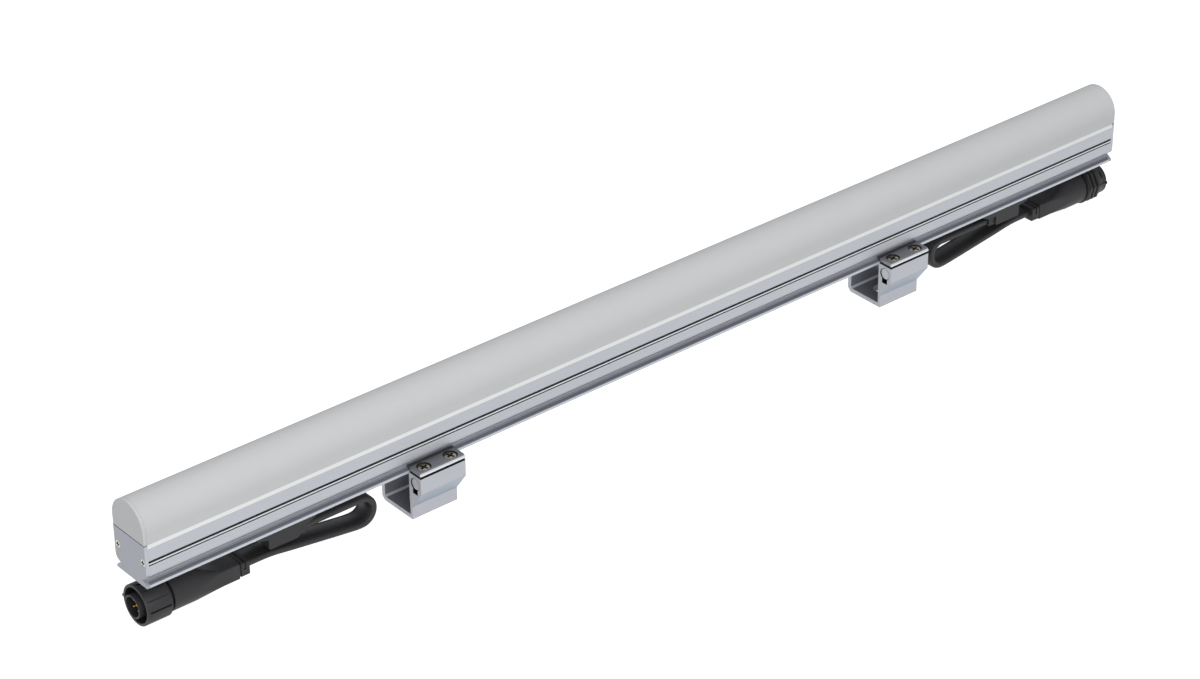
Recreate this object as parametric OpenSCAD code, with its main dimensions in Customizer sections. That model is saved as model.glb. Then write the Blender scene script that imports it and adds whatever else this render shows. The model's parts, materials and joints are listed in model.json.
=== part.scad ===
// Linear outdoor wall washer light on two sliding clamp brackets.
// X runs along the luminaire, Y from its front to its back, Z up from the mounting surface.
// The origin is on the mounting surface, below the middle of the luminaire and its brackets.
// Sketches of cross-sections lie in Y and Z, with Y measured from the luminaire's centre plane.

/* [Luminaire] */
// Overall length over both end caps
luminaire_length = 1000; // [780:10:1500]
// Width of the housing and of the diffuser
body_width = 40; // [39:0.5:44]
// Height of the housing's underside above the mounting surface
mount_standoff = 41; // [41:0.5:60]
// Height of the metal sides above the housing's underside
side_height = 33.4; // [33:0.2:40]
// Height of the pale seal strip between metal and diffuser
seal_height = 3.4; // [2:0.2:6]
// Straight rise of the diffuser before its round top
dome_rise = 9; // [2:0.5:30]

/* [Housing profile] */
// Wall of the lower chamber
profile_wall = 2; // [1.4:0.1:2.4]
// Wall of the upper chamber, beside the diffuser's feet
upper_wall = 1.6; // [1.2:0.1:1.8]
// Thickness of the floor
floor_thickness = 2.2; // [1.6:0.1:3]
// Width of the flange that the brackets grip
flange_width = 39; // [37:0.5:40]
// Height of the flange's upright edge
flange_edge = 1.2; // [0.8:0.1:1.6]
// Height at which the flange's slope meets the neck
flange_height = 5.5; // [5:0.1:6]
// Width of the neck between flange and body
neck_width = 28; // [26:0.5:29]
// Height at which the body starts above the neck
neck_top = 6.5; // [6.2:0.1:7.5]
// Radius of the body's lower corners
corner_radius = 6; // [4:0.5:7]
// Height of the web's underside above the housing's underside
web_height = 25; // [25:0.2:26]
// Thickness of the web that carries the LED board
web_thickness = 2; // [1.5:0.1:2.4]
// Inset of the screw ports from the body's sides
port_inset = 3.9; // [3.7:0.1:4.1]
// Height of the screw ports above the housing's underside
port_height = 20.9; // [20.7:0.1:21.2]
// Diameter of the screw ports
port_diameter = 4.2; // [3.8:0.1:4.4]
// Diameter of the boss around a screw port
port_boss = 7.2; // [6.8:0.1:7.4]
// Opening of the side slot
slot_gap = 1.4; // [1:0.1:1.8]
// Height of the side slot's middle above the housing's underside
slot_height = 21.5; // [21.2:0.1:21.8]

/* [Diffuser and end caps] */
// Wall of the diffuser
diffuser_wall = 2; // [1.2:0.1:3]
// Thickness of the diffuser's feet
foot_thickness = 1.8; // [1.2:0.1:2]
// Thickness of the end caps and of the diffuser's end plates
cap_thickness = 2.8; // [2:0.1:5]
// Depth of the gasket's recess in an end cap
gasket_thickness = 0.5; // [0.3:0.1:0.8]
// Head diameter of the end cap screws
cap_screw_head = 6; // [5:0.1:6.4]
// Length of the end cap screws
cap_screw_length = 13; // [8:0.5:20]

/* [Boards] */
// Distance from the luminaire's end to the LED board
led_board_from_end = 8; // [6:0.5:40]
// Distance from the housing's side to the LED board
led_board_inset = 5.5; // [5.5:0.5:10]
// Thickness of both boards
board_thickness = 1.6; // [1:0.1:1.6]
// Number of LEDs
led_count = 48; // [12:2:60]
// Side of an LED
led_size = 5; // [2.8:0.1:5]
// Height of an LED
led_height = 0.9; // [0.5:0.1:1.6]
// Number of LED board screws
led_screw_count = 6; // [2:2:10]
// Distance from the luminaire's end to the driver board
driver_from_end = 180; // [160:1:190]
// Height of the driver board's underside above the housing's underside
driver_height = 14.5; // [14:0.1:15.5]
// Diameter of a lead wire
lead_diameter = 1.6; // [1.2:0.1:1.8]

/* [Brackets] */
// Distance from the luminaire's end to the middle of a bracket
bracket_from_end = 256.4; // [240:0.1:350]
// Length of a bracket along the luminaire
bracket_length = 42.6; // [36:0.1:50]
// Reach of the jaw in front of the luminaire's centre plane
jaw_reach = 33.3; // [32.4:0.1:38]
// Reach of the hook behind the luminaire's centre plane
hook_reach = 23.3; // [22.5:0.1:26]
// Thickness of the bracket's floor
bracket_floor = 3.7; // [3:0.1:6]
// Distance from the centre plane to the back wall's inner face
back_inner = 13.2; // [12:0.1:14]
// Thickness of the back wall
back_wall = 3.8; // [3:0.1:5]
// Distance from the centre plane to the front wall's inner face
front_inner = 18.9; // [18.6:0.1:19.5]
// Thickness of the front wall
front_wall = 2.5; // [2:0.1:4]
// Height of the lower end of the jaw's slope above the mounting surface
slope_low = 11.2; // [8:0.1:14]
// Height of the upper end of the jaw's slope above the mounting surface
slope_high = 27.6; // [22:0.1:30]
// Diameter of the channel that holds the nut bar
bar_channel = 10; // [9.8:0.1:10.6]
// Diameter of the nut bar
bar_diameter = 9.5; // [9:0.1:9.6]
// Distance from the centre plane to the clamp screws and the nut bar
bar_reach = 26; // [25.8:0.1:26.4]
// Depth of the nut bar's axis below the housing's underside
bar_depth = 7.2; // [6.8:0.1:8]
// Width of the fixing slot in the bracket's floor
fixing_slot_width = 6.4; // [5:0.1:7]
// Distance between the middles of the fixing slot's round ends
fixing_slot_travel = 6.2; // [2:0.1:10]
// Width of the fixing slot's countersink at the floor's top
fixing_sink_width = 12; // [10:0.1:12.4]
// Offset of the fixing slot in front of the centre plane
fixing_offset = 3; // [0:0.5:5]

/* [Clamp plates] */
// Height of the clamp plate's underside above the housing's underside
plate_lift = 2; // [1.8:0.1:2.6]
// Thickness of the clamp plate
plate_thickness = 3.4; // [3.2:0.1:3.6]
// Reach of the clamp plate's lip from the centre plane
lip_reach = 16; // [15.8:0.1:17]
// Thread diameter of the clamp screws
clamp_screw = 5; // [4:0.5:5]
// Head diameter of the clamp screws
clamp_head = 10; // [9:0.1:10]
// Length of the clamp screws
clamp_screw_length = 20; // [16:0.5:20.5]
// Distance between the two clamp screws of a plate
clamp_screw_spacing = 25; // [18:0.5:28]

/* [Cable glands] */
// Distance from the luminaire's end to the gland block
gland_from_end = 108.6; // [100:0.1:110]
// Length of the gland block
gland_length = 27.7; // [26:0.1:32]
// Width of the gland block
gland_width = 25.6; // [24:0.1:28]
// Height of the gland block
gland_height = 16.7; // [16:0.1:20]
// Length of the gland's cable outlet
outlet_length = 6.7; // [4:0.1:8]
// Width of the gland's cable outlet
outlet_width = 22.2; // [20:0.1:23]
// Height of the gland's cable outlet
outlet_height = 8.1; // [7.6:0.1:8.6]

/* [Cables and connectors] */
// Distance of the glands, cables and connectors in front of the luminaire's centre plane
cable_offset = 2.2; // [0:0.1:2.4]
// Width of the flat cable
cable_width = 18.8; // [14:0.1:19]
// Thickness of the flat cable
cable_thickness = 5.7; // [4:0.1:6]
// Height of the connectors' axes above the mounting surface
connector_height = 18; // [17.4:0.1:19]
// Distance from the luminaire's end to the connector's cable side
connector_from_end = 91; // [80:0.5:95]
// Length of the collar on the cable side
collar_length = 9.5; // [6:0.1:12]
// Height of the collar
collar_height = 12; // [11:0.1:14]
// Width of the collar and the flat boot
boot_width = 25.6; // [22:0.1:28]
// Height of the flat boot
boot_height = 14.2; // [12.2:0.1:16]
// Length of the flat boot between collar and taper
boot_length = 13.5; // [8:0.1:20]
// Length of the taper between flat boot and round barrel
taper_length = 22.5; // [12:0.1:25]
// Diameter of the round barrel
barrel_diameter = 29.3; // [27:0.1:30]
// Length of the left connector's barrel
male_barrel_length = 21.3; // [14:0.1:22]
// Length of the right connector's barrel
female_barrel_length = 20; // [14:0.1:24]
// Outer diameter of the coupling nut
nut_diameter = 32.9; // [31:0.1:33]
// Inner diameter of the coupling nut
nut_bore = 28.4; // [28.2:0.1:28.8]
// Length of the coupling nut
nut_length = 22.7; // [20:0.1:23]
// Overhang of the coupling nut beyond the luminaire's end
nut_overhang = 0.5; // [0:0.1:4]
// Outer diameter of the shell around the pins
shell_diameter = 19; // [18.4:0.1:19.2]
// Bore of the shell around the pins
shell_bore = 16; // [15.6:0.1:16.2]
// Outer diameter of the right connector's sleeve
sleeve_diameter = 28; // [25:0.1:28]
// Bore of the right connector's sleeve
sleeve_bore = 19.6; // [19.4:0.1:20]
// Length of the sleeve's round front
sleeve_length = 5; // [4:0.1:8]
// Depth of the sleeve's bore
sleeve_depth = 12; // [10:0.1:14]
// Number of contacts in each connector
contact_count = 5; // [3:1:5]
// Radius of the circle of contacts around the one in the middle
contact_circle = 4.4; // [4.1:0.1:4.8]

/* [Hidden] */
$fn = 64;

// Extra length that lets a cut pass clean through a face
overrun = 1;
// Clearance between pieces that are fitted and stay put
fit_gap = 0.1;
// Radial clearance of a screw in its thread and of the turning nut on its shell
run_gap = 0.05;

// Places that follow from the luminaire's own sizes
body_half = body_width/2;
neck_half = neck_width/2;
flange_half = flange_width/2;
end_x = luminaire_length/2;
profile_length = luminaire_length - 2*cap_thickness;
led_board_length = luminaire_length - 2*led_board_from_end;
led_board_width = body_width - 2*led_board_inset;
driver_length = luminaire_length - 2*driver_from_end;
seam_height = side_height + seal_height;
tube_y = (jaw_reach - hook_reach)/2;
cable_y = tube_y - cable_offset;
base_z = mount_standoff;

// Bevel at the flange's edge, and the slope between it and the neck
flange_bevel = 0.5;
flange_bevel_rise = 1.4;
flange_slope = (flange_height - flange_edge - flange_bevel_rise)/(flange_half - flange_bevel - neck_half);
function flange_top(reach) = flange_height - (reach - neck_half)*flange_slope;

// Fine grooves along the flange's slope, by their place between neck and edge
notch_groove_radius = 0.25;
notch_groove_shares = [0.12, 0.3, 0.48, 0.66];
// Shallow groove below the side slot
groove_width = 0.8;
groove_depth = 0.8;
groove_drop = 2.1;
// Ledges that carry the driver board, and ribs beside the LED board
ledge_width = 1.6;
ledge_thickness = 1;
rib_thickness = 1.6;
rib_height = 5;
rib_inner = body_half - upper_wall - foot_thickness - 2*fit_gap - rib_thickness;
port_y = body_half - port_inset;

// Gasket's sheet and the bead on top of the end cap
gasket_margin = 1.2;
bead_height = 0.5;
// End cap screws: shank, countersunk head and cross recess
cap_screw_shank = port_diameter - 2*run_gap;
head_sink = 0.2;
recess_width_share = 0.6;
recess_slot_share = 0.14;
recess_depth_share = 0.45;

// Screws of the LED board
led_screw = 3;
led_screw_head = 5.5;
led_screw_head_height = 1.8;
led_board_margin = 20;
led_screw_inset = 5.5;
led_screw_y = led_board_width/2 - led_screw_inset;
// Components on the driver board: length, width and height, and places along the board
component_sizes = [[22, 16, 7], [14, 12, 6.5], [9, 9, 1.8], [20, 16, 7.5], [8, 8, 1.4], [26, 14, 6]];
component_shares = [-0.38, -0.2, -0.06, 0.1, 0.24, 0.38];
capacitor_diameter = 7;
capacitor_length = 15;
capacitor_shares = [-0.28, 0.02, 0.18];
capacitor_offset = 4;
// Wires: bend of a lead, pitch between leads and how far they lie on the board
lead_count = 5;
lead_pitch = 1.9;
lead_bend = 4.5;
lead_overlap = 10;
feed_hole = 8;
feed_count = 3;

// Bracket details
back_chamfer = 3.2;
inner_fillet = 1.5;
front_step = 0.4;
front_step_height = 14;
jaw_top_gap = 1;
hook_start = 8;
hook_rise = 1.8;
hook_nose_reach = 16.4;
hook_nose_edge = 1;
hook_top = 7.4;
hook_shoulder = 5.6;
hook_shoulder_inset = 1.7;
bar_relief_width = 5.8;
bar_relief_top = 11.2;
bar_relief_bottom = 16;
bar_end_inset = 0.6;
channel_notch = 1.8;
// Clamp plate details
plate_front_bevel = 1.6;
lip_edge = 0.8;
lip_crown = 0.5;
lip_crown_reach = 17.6;
lip_back_reach = 18.8;
clamp_screw_sink = 0.6;

// Gland details
gland_corner = 2;
lead_hole = 10;
gland_screw = 3;
gland_screw_head = 5.8;
gland_screw_inset = 5.4;
gland_lug_outer = 10;
gland_lug_outer_depth = 7.5;
gland_lug_outer_edge = 5.6;
gland_lug_inner = 15.7;
gland_lug_inner_flat = 8.7;
gland_lug_inner_depth = 8;
gland_lug_inner_edge = 4.5;
outlet_rise = 0.6;
gland_seal_bore = 11.4;
gland_seal_width = 1.3;
gland_seal_height = 1.2;

// Connector details
boot_corner = 1.6;
boot_drop = 0.65;
collar_groove_width = 1.1;
collar_groove_depth = 0.6;
collar_groove_shares = [0.45, 0.88];
neck_groove_depth = 2.2;
nut_back_wall = 2;
nut_back_gap = 0.3;
nut_chamfer = 1.6;
nut_groove_count = 4;
nut_groove_turn = -2;
nut_groove_width = 1.8;
nut_groove_depth = 0.8;
nut_groove_margin = 2.4;
nut_front_bevel = 0.5;
shell_overhang = 3;
snap_width = 1.2;
snap_height = 0.6;
insert_depth = 10.5;
insert_thickness = 6;
pin_diameter = 1.6;
contact_turn = 53;
pin_free_length = 7.5;
male_seal_width = 1.8;
male_seal_height = 1.4;
female_groove_length = 3.2;
female_groove_depth = 1.8;
grip_rib_count = 3;
grip_rib_width = 2.4;
grip_rib_pitch = 4.7;
grip_rib_diameter = 33.6;
grip_rib_sides = 8;
grip_rib_turn = 37;
grip_core_diameter = 27.4;
sleeve_base_diameter = 31;
sleeve_shoulder = 5.7;
sleeve_slot_width = 6;
sleeve_slot_depth = 1.4;
sleeve_slot_length = 1.4;
sleeve_slot_count = 4;
sleeve_slot_turn = 52;
sleeve_slot_inset = 5;
female_insert_diameter = 15.2;
female_insert_recess = 1.2;
socket_diameter = 2.6;
socket_bore = 1.7;
socket_length = 9;
female_seal_width = 1.6;

// The flat cable's route at one end: [distance from the luminaire's end, height], from gland to connector
cable_route = [
    [143, 28.7], [151, 28.7], [160, 28.7], [169, 28.7], [178, 28.7], [187, 28.7], [193, 28.7], [196.3, 28.7],
    [199.4, 28.3], [202.6, 26.7], [205.3, 24], [207, 20.5], [207.3, 16.6], [206.3, 12.9], [204.1, 9.7],
    [200.9, 7.5], [197.6, 6.6], [193, 6.6], [188, 7.1], [180, 8.2], [170, 9.5], [160, 10.9], [150, 12.3],
    [140, 13.7], [130, 15.1], [122, 16.1], [115, 16.9], [108, 17.3], [100, 17.4], [91, 17.4]
];
cable_sides = 12;

// Colours as the eye sees them
aluminium = [0.73, 0.74, 0.78];
dark_aluminium = [0.38, 0.39, 0.42];
milky = [0.86, 0.86, 0.85];
pale = [0.93, 0.93, 0.91];
black = [0.13, 0.13, 0.13];
steel = [0.62, 0.61, 0.52];
gold = [0.83, 0.64, 0.22];
board_white = [0.92, 0.92, 0.9];
board_green = [0.12, 0.36, 0.22];

// Extrudes a cross-section along X, from x_start, with its zero height at low
module along_x(x_start, length, low) {
    translate([x_start, tube_y, low])
        rotate([90, 0, 90])
            linear_extrude(length) children();
}

// Draws a sketch on both sides of the centre plane
module both_sides() {
    for (side = [0, 1])
        mirror([side, 0]) children();
}

// Moves a piece of the right end to the left end when side is -1
module at_end(side) {
    mirror([side < 0 ? 1 : 0, 0, 0]) children();
}

// A round solid about an axis along X, through the connectors' height
module turned(x_start, radius, length) {
    translate([x_start, cable_y, connector_height])
        rotate([0, 90, 0]) cylinder(r = radius, h = length);
}

// A cone about the same axis
module turned_cone(x_start, radius_start, radius_end, length) {
    translate([x_start, cable_y, connector_height])
        rotate([0, 90, 0]) cylinder(r1 = radius_start, r2 = radius_end, h = length);
}

// Cross recess for a screw head of the given diameter; its mouth is at height zero
module cross_recess(head) {
    width = head*recess_width_share;
    slot = head*recess_slot_share;
    depth = head*recess_depth_share/2;
    for (turn = [0, 90])
        rotate([0, 0, turn])
            translate([-width/2, -slot/2, -depth]) cube([width, slot, depth + overrun]);
}

// Countersunk screw pointing down, its head's top at height zero
module countersunk_screw(thread, head, length) {
    cone = (head - thread)/2;
    difference() {
        union() {
            translate([0, 0, -cone]) cylinder(d1 = thread, d2 = head, h = cone);
            translate([0, 0, -length]) cylinder(d = thread, h = length - cone);
        }
        cross_recess(head);
    }
}

// Hole for such a screw, with a gap all round and its countersink open above
module countersunk_hole(thread, mouth, length, gap) {
    cone = (mouth - thread)/2 - gap;
    translate([0, 0, -cone]) cylinder(d1 = thread + 2*gap, d2 = mouth, h = cone);
    translate([0, 0, -length]) cylinder(d = thread + 2*gap, h = length);
    cylinder(d = mouth, h = overrun);
}

// A shape with round lower corners, from low to high
module cup_outline(half, corner, low, high) {
    difference() {
        translate([-half, low]) square([2*half, high - low]);
        both_sides()
            difference() {
                translate([half - corner, low - overrun]) square(corner + overrun);
                translate([half - corner, low + corner]) circle(corner);
            }
    }
}

// Outline of the housing and of its end caps, up to the given height
module housing_outline(top) {
    polygon([
        [-flange_half, 0], [flange_half, 0], [flange_half, flange_edge],
        [flange_half - flange_bevel, flange_edge + flange_bevel_rise],
        [neck_half, flange_height], [-neck_half, flange_height],
        [flange_bevel - flange_half, flange_edge + flange_bevel_rise], [-flange_half, flange_edge]
    ]);
    translate([-neck_half, flange_edge]) square([neck_width, neck_top + profile_wall - flange_edge]);
    cup_outline(body_half, corner_radius, neck_top, top);
}

// Space of the driver board, with the screw ports' bosses and the board's ledges left standing
module lower_chamber() {
    chamber_low = neck_top + profile_wall;
    difference() {
        union() {
            translate([profile_wall - neck_half, floor_thickness])
                square([neck_width - 2*profile_wall, neck_top + corner_radius - floor_thickness]);
            cup_outline(body_half - profile_wall, corner_radius - profile_wall, chamber_low, web_height);
        }
        both_sides() {
            translate([port_y, port_height]) circle(d = port_boss);
            translate([body_half - profile_wall - ledge_width, driver_height - ledge_thickness])
                square([ledge_width, ledge_thickness]);
        }
    }
}

// Space of the LED board and of the diffuser's feet
module upper_chamber() {
    web_top = web_height + web_thickness;
    difference() {
        translate([upper_wall - body_half, web_top])
            square([body_width - 2*upper_wall, side_height + overrun - web_top]);
        both_sides()
            translate([rib_inner, web_top]) square([rib_thickness, rib_height]);
    }
}

// Cross-section of the housing
module housing_section() {
    difference() {
        housing_outline(side_height);
        lower_chamber();
        upper_chamber();
        both_sides() {
            translate([port_y, port_height]) circle(d = port_diameter);
            translate([port_y, slot_height - slot_gap/2]) square([port_inset + overrun, slot_gap]);
            translate([body_half - groove_depth, slot_height - groove_drop - groove_width/2])
                square([groove_depth + overrun, groove_width]);
            for (share = notch_groove_shares) {
                reach = neck_half + share*(flange_half - flange_bevel - neck_half);
                translate([reach, flange_top(reach)]) circle(notch_groove_radius);
            }
        }
    }
}

// Places that the housing's holes share with the pieces that go through them
gland_x = end_x - gland_from_end - gland_length/2;
gland_screw_x = gland_length/2 - gland_screw_inset;
gland_screw_y = gland_width/2 - gland_screw_inset;
gland_screw_places = [[gland_screw_x, gland_screw_y], [-gland_screw_x, -gland_screw_y]];
led_screw_pitch = (led_board_length - 2*led_board_margin)/(led_screw_count - 1);
led_screw_places = [for (i = [0 : led_screw_count - 1])
    [(i - (led_screw_count - 1)/2)*led_screw_pitch, tube_y + led_screw_y*(i % 2 == 0 ? 1 : -1)]];
feed_x = -driver_length/2 + lead_overlap + feed_hole;
board_top = base_z + driver_height + board_thickness;
led_board_low = base_z + web_height + web_thickness;

module housing_profile() {
    color(aluminium)
        difference() {
            along_x(-profile_length/2, profile_length, base_z) housing_section();
            for (side = [-1, 1])
                at_end(side)
                    translate([gland_x, cable_y, base_z - overrun]) {
                        cylinder(d = lead_hole, h = floor_thickness + 2*overrun);
                        for (place = gland_screw_places)
                            translate([place[0], place[1], 0])
                                cylinder(d = gland_screw + 2*run_gap, h = floor_thickness + 2*overrun);
                    }
            for (place = led_screw_places)
                translate([place[0], place[1], led_board_low - web_thickness - overrun])
                    cylinder(d = led_screw + 2*run_gap, h = web_thickness + 2*overrun);
            translate([feed_x, tube_y, base_z + web_height - overrun])
                cylinder(d = feed_hole, h = web_thickness + 2*overrun);
        }
}

// Outline of the diffuser's outside: upright sides and a half-round top
module dome_outline(half) {
    round_z = seam_height + dome_rise;
    difference() {
        translate([-half, seam_height]) square([2*half, dome_rise + half]);
        difference() {
            translate([-half - overrun, round_z]) square([2*half + 2*overrun, half + overrun]);
            translate([0, round_z]) circle(half);
        }
    }
}

module diffuser() {
    foot_outer = body_half - upper_wall - fit_gap;
    web_top = web_height + web_thickness;
    inner = body_half - diffuser_wall;
    color(milky)
        along_x(-profile_length/2, profile_length, base_z) {
            difference() {
                dome_outline(body_half);
                translate([0, seam_height + dome_rise]) circle(inner);
                translate([-inner, seam_height - overrun]) square([2*inner, dome_rise + overrun]);
            }
            both_sides() {
                translate([foot_outer - foot_thickness, seam_height])
                    square([body_half - foot_outer + foot_thickness, diffuser_wall]);
                translate([foot_outer - foot_thickness, web_top])
                    square([foot_thickness, seam_height + diffuser_wall - web_top]);
            }
        }
}

module diffuser_seal_strips() {
    color(pale)
        along_x(-profile_length/2, profile_length, base_z)
            both_sides()
                translate([body_half - upper_wall, side_height]) square([upper_wall, seal_height]);
}

// Sheet that seals an end cap, a little smaller than the cap
module gasket_outline(gap) {
    half = body_half - gasket_margin + gap;
    low = neck_top + gasket_margin - gap;
    cup_outline(half, corner_radius - gasket_margin, low, seam_height - bead_height - gasket_margin + gap);
    translate([gasket_margin - gap - neck_half, gasket_margin - gap])
        square([neck_width - 2*gasket_margin + 2*gap, low + corner_radius - gasket_margin]);
}

// Screw places on an end face, heads outwards
module at_end_screws() {
    for (side = [-1, 1])
        translate([end_x, tube_y + side*port_y, base_z + port_height])
            rotate([0, 90, 0]) children();
}

module end_cap(side) {
    inner_x = end_x - cap_thickness;
    color(aluminium)
        at_end(side)
            difference() {
                along_x(inner_x, cap_thickness, base_z) housing_outline(seam_height - bead_height);
                along_x(inner_x - overrun, gasket_thickness + overrun, base_z) gasket_outline(fit_gap);
                at_end_screws()
                    countersunk_hole(cap_screw_shank, cap_screw_head + 2*head_sink,
                                     cap_thickness + overrun, run_gap);
            }
}

module end_gasket(side) {
    inner_x = end_x - cap_thickness;
    color(black)
        at_end(side) {
            difference() {
                along_x(inner_x, gasket_thickness, base_z) gasket_outline(0);
                at_end_screws()
                    translate([0, 0, -cap_thickness - overrun])
                        cylinder(d = port_diameter, h = cap_thickness + overrun);
            }
            along_x(inner_x, cap_thickness, base_z)
                translate([-body_half, seam_height - bead_height]) square([body_width, bead_height]);
        }
}

module end_screws(side) {
    color(steel)
        at_end(side)
            at_end_screws()
                translate([0, 0, -head_sink])
                    countersunk_screw(cap_screw_shank, cap_screw_head, cap_screw_length);
}

module diffuser_end(side) {
    color(milky)
        at_end(side)
            along_x(end_x - cap_thickness, cap_thickness, base_z) dome_outline(body_half);
}

module led_board() {
    color(board_white)
        difference() {
            translate([-led_board_length/2, tube_y - led_board_width/2, led_board_low])
                cube([led_board_length, led_board_width, board_thickness]);
            for (place = led_screw_places)
                translate([place[0], place[1], led_board_low - overrun])
                    cylinder(d = led_screw + 2*run_gap, h = board_thickness + 2*overrun);
        }
}

module led_chips() {
    pitch = led_board_length/led_count;
    color(pale)
        for (i = [0 : led_count - 1])
            translate([(i - led_count/2)*pitch + (pitch - led_size)/2, tube_y - led_size/2,
                       led_board_low + board_thickness])
                cube([led_size, led_size, led_height]);
}

module led_board_screws() {
    color(steel)
        for (place = led_screw_places)
            translate([place[0], place[1], led_board_low]) {
                translate([0, 0, board_thickness]) cylinder(d = led_screw_head, h = led_screw_head_height);
                translate([0, 0, -web_thickness])
                    cylinder(d = led_screw, h = web_thickness + board_thickness);
            }
}

module driver_board() {
    half = body_half - profile_wall - fit_gap;
    color(board_green)
        translate([-driver_length/2, tube_y - half, base_z + driver_height])
            cube([driver_length, 2*half, board_thickness]);
}

module driver_components() {
    color(black) {
        for (i = [0 : len(component_sizes) - 1])
            translate([component_shares[i]*driver_length, tube_y, board_top + component_sizes[i][2]/2])
                cube(component_sizes[i], center = true);
        for (share = capacitor_shares)
            translate([share*driver_length, tube_y - capacitor_offset, board_top + capacitor_diameter/2])
                rotate([0, 90, 0]) cylinder(d = capacitor_diameter, h = capacitor_length);
    }
}

// Leads that rise from a gland, bend and lie on the driver board
module lead_wires(side) {
    rise = board_top + lead_diameter/2 - lead_bend - base_z;
    board_end = driver_length/2 - lead_overlap;
    color(gold)
        at_end(side)
            for (i = [0 : lead_count - 1])
                translate([gland_x, cable_y + (i - (lead_count - 1)/2)*lead_pitch, base_z]) {
                    cylinder(d = lead_diameter, h = rise);
                    translate([-lead_bend, 0, rise])
                        rotate([90, 0, 0])
                            rotate_extrude(angle = 90)
                                translate([lead_bend, 0]) circle(d = lead_diameter);
                    translate([board_end - gland_x, 0, rise + lead_bend])
                        rotate([0, 90, 0]) cylinder(d = lead_diameter, h = gland_x - lead_bend - board_end);
                }
}

module feed_wires() {
    color(gold)
        for (i = [0 : feed_count - 1])
            translate([feed_x, tube_y + (i - (feed_count - 1)/2)*lead_pitch, board_top])
                cylinder(d = lead_diameter, h = led_board_low - board_top);
}

// Side view of a gland, from its middle: the block and the two lugs beside it, under the housing
module gland_outline() {
    half = gland_length/2;
    difference() {
        polygon([
            [-half - gland_lug_inner, 0], [-half - gland_lug_inner, -gland_lug_inner_edge],
            [-half - gland_lug_inner_flat, -gland_lug_inner_depth], [-half, -gland_lug_inner_depth],
            [-half, -gland_height], [half, -gland_height], [half, -gland_lug_outer_depth],
            [half + gland_lug_outer, -gland_lug_outer_edge], [half + gland_lug_outer, 0]
        ]);
        both_sides()
            translate([half - gland_corner, gland_corner - gland_height])
                difference() {
                    translate([0, -gland_corner - overrun]) square(gland_corner + overrun);
                    circle(gland_corner);
                }
    }
}

// Gland block with its lugs and the cable's outlet
module gland_body() {
    outlet_x = gland_x - gland_length/2 - outlet_length;
    translate([gland_x, cable_y + gland_width/2, base_z])
        rotate([90, 0, 0])
            linear_extrude(gland_width) gland_outline();
    translate([outlet_x, cable_y - outlet_width/2, base_z - gland_height + outlet_rise])
        cube([outlet_length + gland_corner, outlet_width, outlet_height]);
}

module gland_block(side) {
    low = base_z - gland_height;
    color(black)
        at_end(side)
            difference() {
                gland_body();
                translate([gland_x, cable_y, base_z - gland_seal_height])
                    difference() {
                        cylinder(d = gland_seal_bore + 2*gland_seal_width, h = gland_seal_height + overrun);
                        cylinder(d = gland_seal_bore, h = gland_seal_height + overrun);
                    }
                for (place = gland_screw_places)
                    translate([gland_x + place[0], cable_y + place[1], low])
                        mirror([0, 0, 1])
                            countersunk_hole(gland_screw, gland_screw_head + 2*head_sink,
                                             gland_height + overrun, run_gap);
            }
}

module gland_screws(side) {
    color(steel)
        at_end(side)
            for (place = gland_screw_places)
                translate([gland_x + place[0], cable_y + place[1], base_z - gland_height + head_sink])
                    mirror([0, 0, 1])
                        countersunk_screw(gland_screw, gland_screw_head,
                                          gland_height - head_sink + floor_thickness);
}

module gland_seal(side) {
    color(black)
        at_end(side)
            translate([gland_x, cable_y, base_z - gland_seal_height])
                difference() {
                    cylinder(d = gland_seal_bore + 2*gland_seal_width - 2*run_gap, h = gland_seal_height);
                    translate([0, 0, -overrun])
                        cylinder(d = gland_seal_bore + 2*run_gap, h = gland_seal_height + 2*overrun);
                }
}

// Ring of points around the flat cable at one place of its route, square to the route
function cable_section(i) =
    let (
        last = len(cable_route) - 1,
        here = cable_route[i],
        ahead = i == 0 || i == last ? [-1, 0]*(i == 0 ? -1 : 1) : cable_route[i + 1] - cable_route[i - 1],
        along = ahead/norm(ahead),
        round_half = cable_thickness/2,
        flat_half = (cable_width - cable_thickness)/2
    )
    [for (k = [0 : cable_sides - 1])
        let (
            turn = (k + 0.5)*360/cable_sides,
            across = round_half*cos(turn) + flat_half*sign(cos(turn)),
            up = round_half*sin(turn)
        )
        [end_x - here[0] + up*along[1], cable_y + across, here[1] + up*along[0]]];

module cable(side) {
    rings = len(cable_route);
    points = [for (i = [0 : rings - 1]) each cable_section(i)];
    walls = [for (i = [0 : rings - 2], k = [0 : cable_sides - 1])
        let (next = (k + 1) % cable_sides)
        [i*cable_sides + k, (i + 1)*cable_sides + k, (i + 1)*cable_sides + next, i*cable_sides + next]];
    first = [for (k = [0 : cable_sides - 1]) k];
    last = [for (k = [cable_sides - 1 : -1 : 0]) (rings - 1)*cable_sides + k];
    color(black)
        at_end(side)
            polyhedron(points = points, faces = concat([first], walls, [last]));
}

// A rectangle with round corners about the middle
module rounded_section(width, height, corner) {
    difference() {
        square([width, height], center = true);
        both_sides()
            for (flip = [0, 1])
                mirror([0, flip])
                    translate([width/2 - corner, height/2 - corner])
                        difference() {
                            square(corner + overrun);
                            circle(corner);
                        }
    }
}

// Flat boot's cross-section, extruded along the connector from x_start
module flat_section(x_start, length, width, height) {
    translate([0, -cable_offset, 0])
        along_x(x_start, length, connector_height - boot_drop) rounded_section(width, height, boot_corner);
}

// Places along both connectors
collar_x = end_x - connector_from_end;
boot_x = collar_x + collar_length;
taper_x = boot_x + boot_length;
barrel_x = taper_x + taper_length;
barrel_radius = barrel_diameter/2;

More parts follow.
